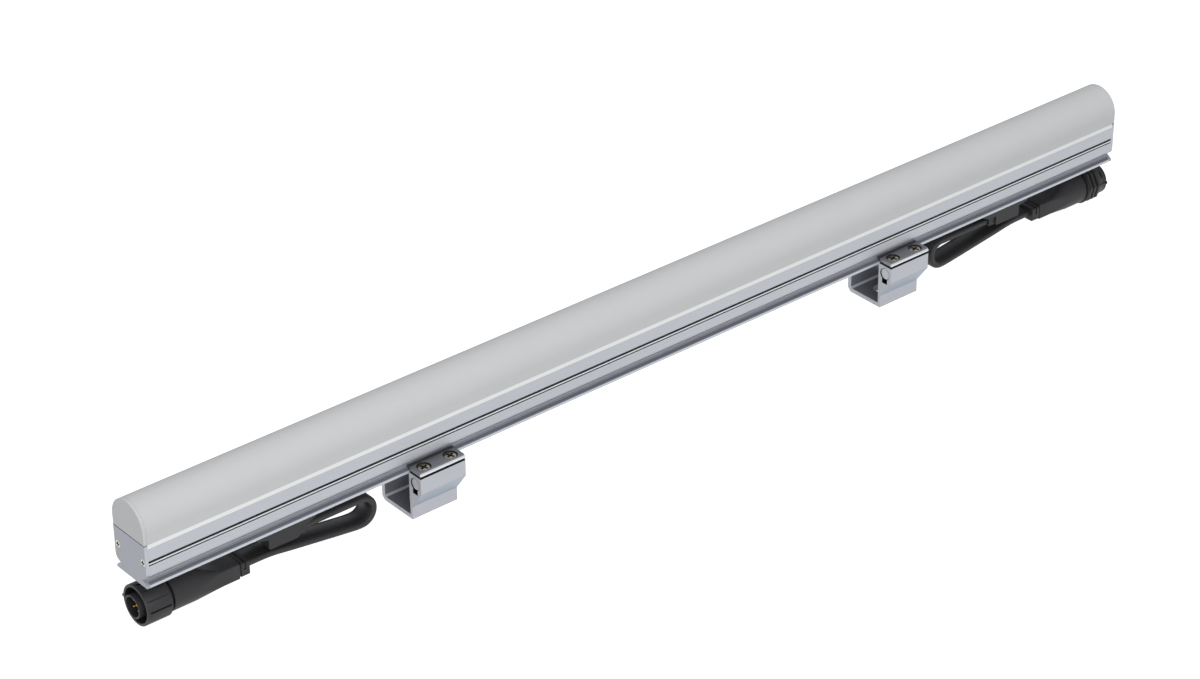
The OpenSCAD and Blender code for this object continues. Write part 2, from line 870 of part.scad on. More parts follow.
// Collar, flat boot and taper, the cable's side of both connectors
module connector_boot() {
    difference() {
        flat_section(collar_x, collar_length, boot_width, collar_height);
        for (share = collar_groove_shares)
            difference() {
                flat_section(collar_x + share*collar_length - collar_groove_width/2, collar_groove_width,
                             boot_width + overrun, collar_height + overrun);
                flat_section(collar_x, collar_length, boot_width - 2*collar_groove_depth,
                             collar_height - 2*collar_groove_depth);
            }
    }
    flat_section(boot_x, boot_length, boot_width - 2*fit_gap, boot_height);
    hull() {
        flat_section(taper_x - fit_gap, fit_gap, boot_width - 2*fit_gap, boot_height, $fn = 32);
        turned(barrel_x, barrel_radius, fit_gap, $fn = 96);
    }
}

// Places along the left connector's front
male_groove_x = barrel_x + male_barrel_length;
nut_front_x = end_x + nut_overhang;
nut_back_x = nut_front_x - nut_length;
shell_front_x = nut_front_x + shell_overhang;
snap_x = nut_back_x + nut_back_wall + nut_back_gap;
male_insert_x = shell_front_x - insert_depth - insert_thickness;
shell_radius = shell_diameter/2;

module left_connector_body() {
    shell_start = nut_back_x - nut_back_gap;
    color(black)
        at_end(-1)
            difference() {
                union() {
                    connector_boot();
                    turned(barrel_x, barrel_radius, male_barrel_length);
                    turned(male_groove_x, barrel_radius - neck_groove_depth, shell_start - male_groove_x);
                    turned(shell_start, shell_radius, shell_front_x - shell_start);
                    turned(snap_x, shell_radius + snap_height, snap_width);
                }
                turned(male_insert_x, shell_bore/2, shell_front_x + overrun - male_insert_x);
            }
}

module left_coupling_nut() {
    groove_length = nut_length - 2*nut_groove_margin;
    nut_radius = nut_diameter/2;
    hole_radius = shell_radius + run_gap;
    color(black)
        at_end(-1)
            translate([nut_back_x, cable_y, connector_height])
                difference() {
                    rotate([0, 90, 0])
                        rotate_extrude()
                            polygon([
                                [hole_radius, 0], [nut_radius - nut_chamfer, 0], [nut_radius, nut_chamfer],
                                [nut_radius, nut_length - nut_front_bevel],
                                [nut_radius - nut_front_bevel, nut_length], [nut_bore/2, nut_length],
                                [nut_bore/2, nut_back_wall], [hole_radius, nut_back_wall]
                            ]);
                    for (i = [0 : nut_groove_count - 1])
                        rotate([nut_groove_turn + i*360/nut_groove_count, 0, 0])
                            translate([nut_groove_margin, -nut_groove_width/2, nut_radius - nut_groove_depth])
                                cube([groove_length, nut_groove_width, nut_groove_depth + overrun]);
                }
}

// Places of the contacts: one on the connector's axis and the others in a circle around it
module at_contacts(x_start) {
    for (i = [0 : contact_count - 1])
        translate([x_start, cable_y, connector_height])
            rotate([contact_turn + i*360/(contact_count - 1), 0, 0])
                translate([0, 0, i == 0 ? 0 : contact_circle])
                    rotate([0, 90, 0]) children();
}

module left_contact_insert() {
    color(black)
        at_end(-1)
            difference() {
                turned(male_insert_x, shell_bore/2 - run_gap, insert_thickness);
                at_contacts(male_insert_x - overrun)
                    cylinder(d = pin_diameter + 2*run_gap, h = insert_thickness + 2*overrun);
            }
}

module left_contact_pins() {
    color(gold)
        at_end(-1)
            at_contacts(male_insert_x)
                cylinder(d = pin_diameter, h = insert_thickness + pin_free_length);
}

module left_connector_seal() {
    seal_x = snap_x + snap_width;
    color(pale)
        at_end(-1)
            difference() {
                turned(seal_x, shell_radius + male_seal_height, male_seal_width);
                turned(seal_x - overrun, shell_radius + run_gap, male_seal_width + 2*overrun);
            }
}

// Places along the right connector's front
female_groove_x = barrel_x + female_barrel_length;
grip_x = female_groove_x + female_groove_length;
grip_length = (grip_rib_count - 1)*grip_rib_pitch + grip_rib_width;
sleeve_x = grip_x + grip_length;
sleeve_front_x = sleeve_x + sleeve_length + sleeve_shoulder;
sleeve_floor_x = sleeve_front_x - sleeve_depth;
female_insert_length = sleeve_depth - female_insert_recess;

module right_connector_body() {
    sleeve_radius = sleeve_diameter/2;
    color(black)
        difference() {
            union() {
                connector_boot();
                turned(barrel_x, barrel_radius, female_barrel_length);
                turned(female_groove_x, barrel_radius - female_groove_depth, female_groove_length);
                turned(grip_x, grip_core_diameter/2, grip_length);
                for (i = [0 : grip_rib_count - 1])
                    translate([grip_x + i*grip_rib_pitch, cable_y, connector_height])
                        rotate([grip_rib_turn, 0, 0])
                            rotate([0, 90, 0])
                                cylinder(d = grip_rib_diameter, h = grip_rib_width, $fn = grip_rib_sides);
                turned_cone(sleeve_x, sleeve_base_diameter/2, sleeve_radius, sleeve_shoulder);
                turned(sleeve_x + sleeve_shoulder, sleeve_radius, sleeve_length);
            }
            turned(sleeve_floor_x, sleeve_bore/2, sleeve_depth + overrun);
            for (i = [0 : sleeve_slot_count - 1])
                translate([sleeve_front_x - sleeve_slot_inset - sleeve_slot_length,
                           cable_y, connector_height])
                    rotate([sleeve_slot_turn + i*360/sleeve_slot_count, 0, 0])
                        translate([0, -sleeve_slot_width/2, sleeve_radius - sleeve_slot_depth])
                            cube([sleeve_slot_length, sleeve_slot_width, sleeve_slot_depth + overrun]);
        }
}

module right_contact_insert() {
    color(black)
        difference() {
            turned(sleeve_floor_x, female_insert_diameter/2, female_insert_length);
            at_contacts(sleeve_floor_x + female_insert_length - socket_length)
                cylinder(d = socket_diameter + 2*run_gap, h = socket_length + overrun);
        }
}

module right_contact_sockets() {
    color(gold)
        at_contacts(sleeve_floor_x + female_insert_length - socket_length)
            difference() {
                cylinder(d = socket_diameter, h = socket_length);
                translate([0, 0, overrun]) cylinder(d = socket_bore, h = socket_length);
            }
}

module right_connector_seal() {
    color(pale)
        difference() {
            turned(sleeve_floor_x, sleeve_bore/2 - run_gap, female_seal_width);
            turned(sleeve_floor_x - overrun, female_insert_diameter/2 + run_gap,
                   female_seal_width + 2*overrun);
        }
}

// Heights of the bracket's jaw and hook above the mounting surface
jaw_top = base_z + jaw_top_gap;
flange_recess = flange_half + fit_gap;
front_outer = front_inner + front_wall;
back_outer = back_inner + back_wall;
bar_z = base_z - bar_depth;
plate_z = base_z + plate_lift;
plate_top = plate_z + plate_thickness;

// Cross-section of a bracket: floor, back wall with its hook, and front wall with its jaw
module bracket_outline() {
    seat_inner = front_inner - front_step;
    nose_low = base_z + flange_top(hook_nose_reach) + 2*fit_gap;
    bevel_reach = flange_half - flange_bevel;
    bevel_height = base_z + flange_edge + flange_bevel_rise + 2*fit_gap;
    polygon([
        [-front_outer, 0], [back_outer - back_chamfer, 0], [back_outer, back_chamfer],
        [back_outer, base_z - hook_start], [hook_reach, base_z - hook_rise],
        [hook_reach, base_z + hook_shoulder], [hook_reach - hook_shoulder_inset, base_z + hook_top],
        [hook_nose_reach + hook_shoulder_inset, base_z + hook_top - flange_bevel],
        [hook_nose_reach, nose_low + hook_nose_edge], [hook_nose_reach, nose_low],
        [bevel_reach + fit_gap, bevel_height], [flange_recess, base_z + flange_edge], [flange_recess, base_z],
        [back_inner, base_z], [back_inner, bracket_floor], [-front_inner, bracket_floor],
        [-front_inner, front_step_height], [-seat_inner, front_step_height + front_step],
        [-seat_inner, base_z], [-flange_recess, base_z], [-flange_recess, jaw_top], [-jaw_reach, jaw_top],
        [-jaw_reach, slope_high], [-front_outer, slope_low]
    ]);
    // Fillet between the floor and the back wall
    difference() {
        translate([back_inner - inner_fillet, bracket_floor]) square(inner_fillet);
        translate([back_inner - inner_fillet, bracket_floor + inner_fillet]) circle(inner_fillet);
    }
}

// Countersunk slot through the floor, its middle at x
module fixing_slot(x) {
    width = fixing_slot_width;
    sink = (fixing_sink_width - width)/2;
    sink_low = bracket_floor - sink;
    translate([x, tube_y - fixing_offset, 0]) {
        for (side = [-1, 1])
            translate([side*fixing_slot_travel/2, 0, 0]) {
                translate([0, 0, -overrun]) cylinder(d = width, h = bracket_floor + 2*overrun);
                translate([0, 0, sink_low]) cylinder(d1 = width, d2 = fixing_sink_width, h = sink);
            }
        translate([-fixing_slot_travel/2, -width/2, -overrun])
            cube([fixing_slot_travel, width, bracket_floor + 2*overrun]);
        translate([-fixing_slot_travel/2, 0, sink_low])
            rotate([90, 0, 90])
                linear_extrude(fixing_slot_travel)
                    polygon([
                        [-width/2, 0], [width/2, 0],
                        [fixing_sink_width/2, sink], [-fixing_sink_width/2, sink]
                    ]);
    }
}

// Places of the two clamp screws of the bracket whose middle is at x, at the given height
module at_clamp_screws(x, height) {
    for (side = [-1, 1])
        translate([x + side*clamp_screw_spacing/2, tube_y - bar_reach, height]) children();
}

module bracket_base(x) {
    start = x - bracket_length/2;
    color(aluminium)
        difference() {
            along_x(start, bracket_length, 0) bracket_outline();
            along_x(start - overrun, bracket_length + 2*overrun, 0) {
                translate([-bar_reach, bar_z]) circle(d = bar_channel);
                translate([-bar_reach, bar_z + bar_channel/2])
                    rotate(45) square(channel_notch, center = true);
                translate([-bar_reach - bar_relief_width/2, base_z - bar_relief_bottom])
                    square([bar_relief_width, bar_relief_bottom - bar_relief_top]);
            }
            at_clamp_screws(x, bar_z)
                cylinder(d = clamp_screw + 2*fit_gap, h = bar_depth + jaw_top_gap + overrun);
            fixing_slot(x);
        }
}

module nut_bar(x) {
    length = bracket_length - 2*bar_end_inset;
    color(steel)
        difference() {
            translate([x - length/2, tube_y - bar_reach, bar_z])
                rotate([0, 90, 0]) cylinder(d = bar_diameter, h = length);
            at_clamp_screws(x, bar_z - bar_diameter)
                cylinder(d = clamp_screw + 2*run_gap, h = 2*bar_diameter);
        }
}

// Cross-section of a clamp plate: a flat bar whose lip reaches over the flange's slope
module plate_outline() {
    bevel_reach = flange_half - flange_bevel;
    bevel_height = base_z + flange_edge + flange_bevel_rise + 2*fit_gap;
    lip_low = base_z + flange_top(lip_reach) + 2*fit_gap;
    polygon([
        [-jaw_reach, plate_z], [-flange_recess, plate_z], [-bevel_reach - fit_gap, bevel_height],
        [-lip_reach, lip_low], [-lip_reach, lip_low + lip_edge],
        [-lip_crown_reach, plate_top + lip_crown], [-lip_back_reach, plate_top],
        [plate_front_bevel - jaw_reach, plate_top], [-jaw_reach, plate_top - plate_front_bevel]
    ]);
}

module clamp_plate(x) {
    color(dark_aluminium)
        difference() {
            along_x(x - bracket_length/2, bracket_length, 0) plate_outline();
            at_clamp_screws(x, plate_top)
                countersunk_hole(clamp_screw, clamp_head + 2*clamp_screw_sink + 2*fit_gap,
                                 plate_thickness + overrun, fit_gap);
        }
}

module clamp_screw_solid(x, side) {
    color(steel)
        translate([x + side*clamp_screw_spacing/2, tube_y - bar_reach, plate_top - clamp_screw_sink])
            countersunk_screw(clamp_screw, clamp_head, clamp_screw_length);
}

right_x = end_x - bracket_from_end;
left_x = -right_x;

housing_profile();
diffuser();
diffuser_seal_strips();
end_cap(-1);  // left_end_cap
end_cap(1);  // right_end_cap
diffuser_end(-1);  // left_diffuser_end
diffuser_end(1);  // right_diffuser_end
end_gasket(-1);  // left_end_gasket
end_gasket(1);  // right_end_gasket
end_screws(-1);  // left_end_screws
end_screws(1);  // right_end_screws
led_board();
led_chips();
led_board_screws();
driver_board();
driver_components();
lead_wires(-1);  // left_lead_wires
lead_wires(1);  // right_lead_wires
feed_wires();
gland_block(-1);  // left_gland_block
gland_block(1);  // right_gland_block
gland_screws(-1);  // left_gland_screws
gland_screws(1);  // right_gland_screws
gland_seal(-1);  // left_gland_seal
gland_seal(1);  // right_gland_seal
cable(-1);  // left_cable
cable(1);  // right_cable
left_connector_body();
left_coupling_nut();
left_contact_insert();
left_contact_pins();
left_connector_seal();
right_connector_body();
right_contact_insert();
right_contact_sockets();
right_connector_seal();
bracket_base(left_x);  // left_bracket_base
bracket_base(right_x);  // right_bracket_base
clamp_plate(left_x);  // left_clamp_plate
clamp_plate(right_x);  // right_clamp_plate
clamp_screw_solid(left_x, -1);  // left_clamp_screw_a
clamp_screw_solid(left_x, 1);  // left_clamp_screw_b
clamp_screw_solid(right_x, -1);  // right_clamp_screw_a
clamp_screw_solid(right_x, 1);  // right_clamp_screw_b
nut_bar(left_x);  // left_nut_bar
nut_bar(right_x);  // right_nut_bar
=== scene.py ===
# %% [markdown]
# An outdoor wall washer light: a metre of extruded aluminium with a milky half-round diffuser,
# held by two brackets that can slide along it, with a short flat cable at each end. The CAD model
# brings every piece at its real size. This script adds what the eye reads as real: rounded edges,
# smooth round parts, fine grooves, and a finish on every surface. Lengths are in metres, and those
# that read better in millimetres are multiplied by MM.

# %% Load the frame
import json
import math

import bmesh
import bpy
from mathutils import Matrix, Vector


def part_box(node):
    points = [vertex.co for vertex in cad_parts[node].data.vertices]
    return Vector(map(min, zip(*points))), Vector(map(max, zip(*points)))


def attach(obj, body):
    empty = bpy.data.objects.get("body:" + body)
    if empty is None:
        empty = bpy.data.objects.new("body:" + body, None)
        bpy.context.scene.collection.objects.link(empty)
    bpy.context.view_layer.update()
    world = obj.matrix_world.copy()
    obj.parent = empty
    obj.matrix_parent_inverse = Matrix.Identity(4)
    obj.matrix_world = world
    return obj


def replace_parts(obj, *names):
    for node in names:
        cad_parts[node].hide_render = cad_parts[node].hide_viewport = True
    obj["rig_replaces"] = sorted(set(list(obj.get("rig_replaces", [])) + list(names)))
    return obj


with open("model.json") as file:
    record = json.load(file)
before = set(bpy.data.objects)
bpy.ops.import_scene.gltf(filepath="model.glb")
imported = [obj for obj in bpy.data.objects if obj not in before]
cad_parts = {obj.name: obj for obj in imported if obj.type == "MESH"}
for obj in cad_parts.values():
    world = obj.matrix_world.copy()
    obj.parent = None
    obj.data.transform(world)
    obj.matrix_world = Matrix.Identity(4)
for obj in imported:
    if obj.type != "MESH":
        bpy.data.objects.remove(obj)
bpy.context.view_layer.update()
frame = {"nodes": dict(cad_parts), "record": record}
MM = 0.001

# %% [markdown]
# The brackets stand on the mounting surface at height zero. Most sizes below are read back from
# the CAD nodes, so that the pieces made here sit exactly where the solids are.

# %% Main measures
HOUSING_LOW, HOUSING_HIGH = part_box("housing_profile")
CENTRE_Y = (HOUSING_LOW.y + HOUSING_HIGH.y) / 2
HALF_WIDTH = (HOUSING_HIGH.y - HOUSING_LOW.y) / 2
BASE_Z = HOUSING_LOW.z
END_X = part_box("right_end_cap")[1].x
NUT_LOW, NUT_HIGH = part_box("left_coupling_nut")
AXIS_Y = (NUT_LOW.y + NUT_HIGH.y) / 2
AXIS_Z = (NUT_LOW.z + NUT_HIGH.z) / 2
SIDES = (("left", -1), ("right", 1))
print(f"housing {2 * END_X:.3f} m long with its caps, {2 * HALF_WIDTH:.3f} m wide")
print(f"connector axis {(CENTRE_Y - AXIS_Y) / MM:.1f} mm in front of the centre, {AXIS_Z / MM:.1f} mm high")

# %% [markdown]
# The camera looks down at the luminaire from the front left through a long lens, so the far end
# shrinks only a little. Its angles were worked out from edges whose real sizes are known.

# %% Camera
CAMERA_LENS = 106.75
CAMERA_AZIMUTH = math.radians(-39.63)
CAMERA_ELEVATION = math.radians(30.79)
CAMERA_ROLL = math.radians(-0.54)
CAMERA_DISTANCE = 2828.19 * MM
CAMERA_RIGHT = -47.72 * MM
CAMERA_UP = 4.12 * MM


def make_camera():
    back = Vector((
        math.sin(CAMERA_AZIMUTH) * math.cos(CAMERA_ELEVATION),
        -math.cos(CAMERA_AZIMUTH) * math.cos(CAMERA_ELEVATION),
        math.sin(CAMERA_ELEVATION),
    ))
    level_right = (-back).cross(Vector((0, 0, 1))).normalized()
    level_up = level_right.cross(-back)
    right = level_right * math.cos(CAMERA_ROLL) + level_up * math.sin(CAMERA_ROLL)
    up = level_up * math.cos(CAMERA_ROLL) - level_right * math.sin(CAMERA_ROLL)
    camera = bpy.data.objects.new("camera", bpy.data.cameras.new("camera"))
    bpy.context.scene.collection.objects.link(camera)
    camera.data.lens = CAMERA_LENS
    camera.data.sensor_width = 36
    camera.data.clip_end = 20
    place = Vector((0, CENTRE_Y, BASE_Z)) + back * CAMERA_DISTANCE + right * CAMERA_RIGHT + up * CAMERA_UP
    turned = Matrix((right, up, back)).transposed().to_4x4()
    camera.matrix_world = Matrix.Translation(place) @ turned
    bpy.context.scene.camera = camera


make_camera()
print(f"camera {CAMERA_DISTANCE:.2f} m away, with a {CAMERA_LENS} mm lens")

# %% [markdown]
# Every piece made here is a plain mesh. These helpers turn a list of points and faces into an
# object, shade it smooth between its sharp edges, and let it ride on a CAD body.

# %% Mesh helpers
SMOOTH_ANGLE = math.radians(32)
BEVEL_ANGLE = math.radians(30)
BEVEL_STEPS = 2
MERGE_DISTANCE = 0.001 * MM


def new_object(name, mesh):
    piece = bpy.data.objects.new(name, mesh)
    bpy.context.scene.collection.objects.link(piece)
    return piece


def mesh_object(name, points, faces):
    mesh = bpy.data.meshes.new(name)
    mesh.from_pydata([tuple(p) for p in points], [], faces)
    mesh.validate()
    return new_object(name, mesh)


def with_bmesh(piece, change):
    """Runs change on the piece's mesh as a bmesh."""
    bm = bmesh.new()
    bm.from_mesh(piece.data)
    change(bm)
    bm.to_mesh(piece.data)
    bm.free()
    piece.data.update()


def outward(piece):
    """Merges doubles and turns every face outwards."""
    def change(bm):
        bmesh.ops.remove_doubles(bm, verts=bm.verts, dist=MERGE_DISTANCE)
        bmesh.ops.recalc_face_normals(bm, faces=bm.faces)
    with_bmesh(piece, change)
    return piece


def smooth_shade(piece, angle=SMOOTH_ANGLE):
    """Smooth faces, with edges sharper than the angle kept crisp."""
    piece.data.polygons.foreach_set("use_smooth", [True] * len(piece.data.polygons))

    def change(bm):
        for edge in bm.edges:
            edge.smooth = len(edge.link_faces) == 2 and edge.calc_face_angle(math.pi) < angle
    with_bmesh(piece, change)
    return piece


def flatten_modifiers(piece):
    """Replaces the mesh by its evaluated one and drops the modifiers."""
    bpy.context.view_layer.update()
    shown = piece.evaluated_get(bpy.context.evaluated_depsgraph_get())
    piece.data = bpy.data.meshes.new_from_object(shown)
    piece.data.name = piece.name
    piece.modifiers.clear()
    return piece


def rounded(piece, width):
    """Rounds the piece's edges with a bevel and shades it."""
    bevel = piece.modifiers.new("round edges", "BEVEL")
    bevel.width = width
    bevel.segments = BEVEL_STEPS
    bevel.limit_method = "ANGLE"
    bevel.angle_limit = BEVEL_ANGLE
    bevel.miter_outer = "MITER_ARC"
    bevel.harden_normals = False
    weighted = piece.modifiers.new("even shading", "WEIGHTED_NORMAL")
    weighted.keep_sharp = True
    smooth_shade(piece, BEVEL_ANGLE)
    return flatten_modifiers(piece)


def finish_piece(piece, body, slot, material, *nodes):
    """Gives a finished piece its material, its body and the nodes that it stands for; the slot is not used.
    """
    piece.data.materials.clear()
    piece.data.materials.append(material)
    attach(piece, body)
    if nodes:
        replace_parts(piece, *nodes)
    return piece


# %% [markdown]
# Most round parts here are skins over a row of rings: each ring is a rectangle with round corners,
# and a circle is only such a rectangle whose corners fill it. So one function can draw a flat boot
# that flows into a round barrel. A row of rings may also turn back inside, which makes a bore.

# %% Rings and skins
CORNER_STEPS = 12


def ring(x, half_width, half_height=None, corner=None, lift=0.0):
    """Points round a rectangle with round corners, square to X; with one size it is a circle."""
    half_height = half_width if half_height is None else half_height
    corner = half_width if corner is None else corner
    points = []
    for turn, (across, up) in enumerate(((1, 1), (-1, 1), (-1, -1), (1, -1))):
        for k in range(CORNER_STEPS + 1):
            angle = (turn + k / CORNER_STEPS) * math.pi / 2
            points.append(Vector((x, across * (half_width - corner) + corner * math.cos(angle),
                                  up * (half_height - corner) + corner * math.sin(angle) + lift)))
    return points


def skin(name, rings, looped=False):
    """A closed mesh over the rings, capped at both ends or joined into a loop."""
    count = len(rings[0])
    points = [point for one in rings for point in one]
    faces = []
    for i in range(len(rings) if looped else len(rings) - 1):
        start, after = i * count, (i + 1) % len(rings) * count
        for k in range(count):
            faces.append((start + k, start + (k + 1) % count, after + (k + 1) % count, after + k))
    if not looped:
        faces.append(tuple(range(count)))
        faces.append(tuple(range(len(points) - count, len(points))))
    return outward(mesh_object(name, points, faces))


def moved(piece, matrix):
    """Moves or turns the mesh itself, so that the object stays at the origin."""
    piece.data.transform(matrix)
    if matrix.determinant() < 0:
        piece.data.flip_normals()
    return piece


def cut(piece, *cutters):
    """Takes the cutters' shapes out of the piece."""
    for cutter in cutters:
        hole = piece.modifiers.new("cut", "BOOLEAN")
        hole.operation = "DIFFERENCE"
        hole.solver = "EXACT"
        hole.object = cutter
    flatten_modifiers(piece)
    for cutter in cutters:
        bpy.data.objects.remove(cutter)
    return piece


def slab(name, outline, start, end):
    """A flat outline of points (y, z), drawn out along X from start to end."""
    count = len(outline)
    points = [Vector((x, y, z)) for x in (start, end) for y, z in outline]
    faces = [(k, (k + 1) % count, (k + 1) % count + count, k + count) for k in range(count)]
    faces += [tuple(range(count)), tuple(range(count, 2 * count))]
    return outward(mesh_object(name, points, faces))


# %% [markdown]
# A CAD node arrives as loose triangles with knife edges. A dressed copy joins them, merges flat
# triangles into whole faces, and rounds the edges a little, so that they catch the light as real
# edges do. Nothing is moved, so the copy stays inside the node's own box.

# %% Dressed copies of CAD nodes
FLAT_ANGLE = math.radians(0.6)


def dressed(cad_node, width):
    piece = new_object(cad_node + "_dressed", frame["nodes"][cad_node].data.copy())

    def change(bm):
        bmesh.ops.remove_doubles(bm, verts=bm.verts, dist=2 * MERGE_DISTANCE)
        bmesh.ops.dissolve_limit(bm, angle_limit=FLAT_ANGLE, verts=bm.verts, edges=bm.edges)
    with_bmesh(piece, change)
    return rounded(piece, width)


# %% [markdown]
# Screws, ribs, contacts and LEDs repeat, either in a row or around an axis along X. One Geometry
# Nodes tree does both: it puts copies of a mesh on a line of points and turns each one a step
# further than the one before. Real copies, not instances, go into the finished mesh.

# %% Geometry tree for copies
COPIES_INPUTS = {
    "Copy": "NodeSocketObject", "Count": "NodeSocketInt", "Start": "NodeSocketVector",
    "Spacing": "NodeSocketVector", "First turn": "NodeSocketFloat", "Turn step": "NodeSocketFloat",
    "Finish": "NodeSocketMaterial",
}


def make_copies_tree():
    tree = bpy.data.node_groups.new("copies in a row or a ring", "GeometryNodeTree")
    sockets = {title: tree.interface.new_socket(title, in_out="INPUT", socket_type=kind).identifier
               for title, kind in COPIES_INPUTS.items()}
    tree.interface.new_socket("Geometry", in_out="OUTPUT", socket_type="NodeSocketGeometry")
    given, out = tree.nodes.new("NodeGroupInput"), tree.nodes.new("NodeGroupOutput")
    row = tree.nodes.new("GeometryNodeMeshLine")
    original = tree.nodes.new("GeometryNodeObjectInfo")
    index = tree.nodes.new("GeometryNodeInputIndex")
    angle = tree.nodes.new("ShaderNodeMath")
    angle.operation = "MULTIPLY_ADD"
    euler = tree.nodes.new("ShaderNodeCombineXYZ")
    turned = tree.nodes.new("FunctionNodeEulerToRotation")
    placed = tree.nodes.new("GeometryNodeInstanceOnPoints")
    real = tree.nodes.new("GeometryNodeRealizeInstances")
    finished = tree.nodes.new("GeometryNodeSetMaterial")
    for start, end in (
        (given.outputs["Count"], row.inputs["Count"]),
        (given.outputs["Start"], row.inputs["Start Location"]),
        (given.outputs["Spacing"], row.inputs["Offset"]),
        (given.outputs["Copy"], original.inputs["Object"]),
        (index.outputs[0], angle.inputs[0]),
        (given.outputs["Turn step"], angle.inputs[1]),
        (given.outputs["First turn"], angle.inputs[2]),
        (angle.outputs[0], euler.inputs["X"]),
        (euler.outputs[0], turned.inputs[0]),
        (row.outputs["Mesh"], placed.inputs["Points"]),
        (original.outputs["Geometry"], placed.inputs["Instance"]),
        (turned.outputs[0], placed.inputs["Rotation"]),
        (placed.outputs[0], real.inputs["Geometry"]),
        (real.outputs[0], finished.inputs["Geometry"]),
        (given.outputs["Finish"], finished.inputs["Material"]),
        (finished.outputs[0], out.inputs["Geometry"]),
    ):
        tree.links.new(start, end)
    return tree, sockets


COPIES, COPIES_SOCKET = make_copies_tree()


def copies(name, template, count, material, start=(0, 0, 0), spacing=(0, 0, 0), first_turn=0.0,
           turn_step=0.0):
    """Copies of the template in a row or a ring, as one mesh; the template itself is used up."""
    piece = mesh_object(name, [], [])
    modifier = piece.modifiers.new("copies", "NODES")
    modifier.node_group = COPIES
    values = {"Copy": template, "Count": count, "Start": start, "Spacing": spacing,
              "First turn": first_turn, "Turn step": turn_step, "Finish": material}
    for title, value in values.items():
        modifier[COPIES_SOCKET[title]] = value
    flatten_modifiers(piece)
    bpy.data.objects.remove(template)
    return piece


print("geometry tree:", COPIES.name, "with inputs", ", ".join(COPIES_INPUTS))

# %% [markdown]
# The cables come early, because their route decides how much room the model takes. Each is a flat
# jacket with a bead along both edges. It leaves its gland level, turns round once in a tight loop
# below the housing, and climbs gently into its connector. The route is that of the CAD source, with
# its last few points lifted a touch. Each point is a distance from the luminaire's end and a height,
# both in millimetres.

# %% Cable route
CABLE_WIDTH = 19.4 * MM
CABLE_THICKNESS = 5.7 * MM
CABLE_ROUTE = [
    (143, 28.7), (151, 28.7), (160, 28.7), (169, 28.7), (178, 28.7), (187, 28.7), (193, 28.7), (196.3, 28.7),
    (199.4, 28.3), (202.6, 26.7), (205.3, 24), (207, 20.5), (207.3, 16.6), (206.3, 12.9), (204.1, 9.7),
    (200.9, 7.5), (197.6, 6.6), (193, 6.6), (188, 7.1), (180, 8.2), (170, 9.5), (160, 10.9), (150, 12.3),
    (140, 13.7), (130, 15.1), (122, 16.4), (115, 17.3), (108, 17.8), (100, 17.9), (91, 17.9),
]
STEPS_PER_SPAN = 4


def smooth_path(points, steps):
    """A smooth curve through the points, with the given number of steps in each span."""
    ends = [points[0] * 2 - points[1]] + points + [points[-1] * 2 - points[-2]]
    path = []
    for i in range(len(points) - 1):
        a, b, c, d = ends[i:i + 4]
        for k in range(steps):
            t = k / steps
            path.append((b * 2 + (c - a) * t + (a * 2 - b * 5 + c * 4 - d) * t * t
                         + (b * 3 - a - c * 3 + d) * t ** 3) / 2)
    return path + [points[-1]]


def cable_path(side):
    route = [Vector((side * (END_X - away * MM), AXIS_Y, height * MM)) for away, height in CABLE_ROUTE]
    return smooth_path(route, STEPS_PER_SPAN)


# %% [markdown]
# The jacket is a sweep: the same flat section at every step of the path, square to it. Along both
# edges runs a rounder bead, and a narrow valley sets it off from the flat middle.

# %% Cable jacket
EDGE_RADIUS = 2.3 * MM
VALLEY_DEPTH = 0.45 * MM
VALLEY_WIDTH = 0.9 * MM
EDGE_STEPS = 8
JACKET_SMOOTH_ANGLE = math.radians(50)


def jacket_section():
    """Points (across, up) of the flat section, going round once."""
    half, top = CABLE_WIDTH / 2, CABLE_THICKNESS / 2
    edge = half - EDGE_RADIUS
    quarter = [(edge - VALLEY_WIDTH, top), (edge - VALLEY_WIDTH / 2, top - VALLEY_DEPTH)]
    for k in range(1, EDGE_STEPS + 1):
        angle = math.pi / 2 * (1 - k / EDGE_STEPS)
        quarter.append((edge + EDGE_RADIUS * math.cos(angle),
                        top - EDGE_RADIUS + EDGE_RADIUS * math.sin(angle)))
    right = quarter + [(across, -up) for across, up in reversed(quarter)]
    return right + [(-across, -up) for across, up in right]


def sweep(name, path, section):
    """A closed tube that carries the section along a path in a plane of constant Y."""
    points, faces, count = [], [], len(section)
    for i, here in enumerate(path):
        along = (path[min(i + 1, len(path) - 1)] - path[max(i - 1, 0)]).normalized()
        if i in (0, len(path) - 1):
            along = Vector((1 if along.x > 0 else -1, 0, 0))
        up = along.cross(Vector((0, 1, 0)))
        points += [here + Vector((0, across, 0)) + up * lift for across, lift in section]
    for i in range(len(path) - 1):
        for k in range(count):
            following = (k + 1) % count
            faces.append((i * count + k, i * count + following,
                          (i + 1) * count + following, (i + 1) * count + k))
    faces.append(tuple(range(count)))
    faces.append(tuple(range((len(path) - 1) * count, len(path) * count)))
    return outward(mesh_object(name, points, faces))


cables = {}
for side_name, side in SIDES:
    cable = sweep(side_name + "_flat_cable", cable_path(side), jacket_section())
    cables[side_name] = smooth_shade(cable, JACKET_SMOOTH_ANGLE)

# %% [markdown]
# Finishes. Each is a procedural material: noise for grain and unevenness, a little bump, and
# roughness that changes over the surface. Two shader groups carry the effects that many of them
# share: the fine lengthwise lines of extruded metal, and the pebble of moulded plastic.

# %% Shader groups
def node(tree, kind, **values):
    made = tree.nodes.new(kind)
    for key, value in values.items():
        if key in made.inputs:
            made.inputs[key].default_value = value
        else:
            setattr(made, key, value)
    return made


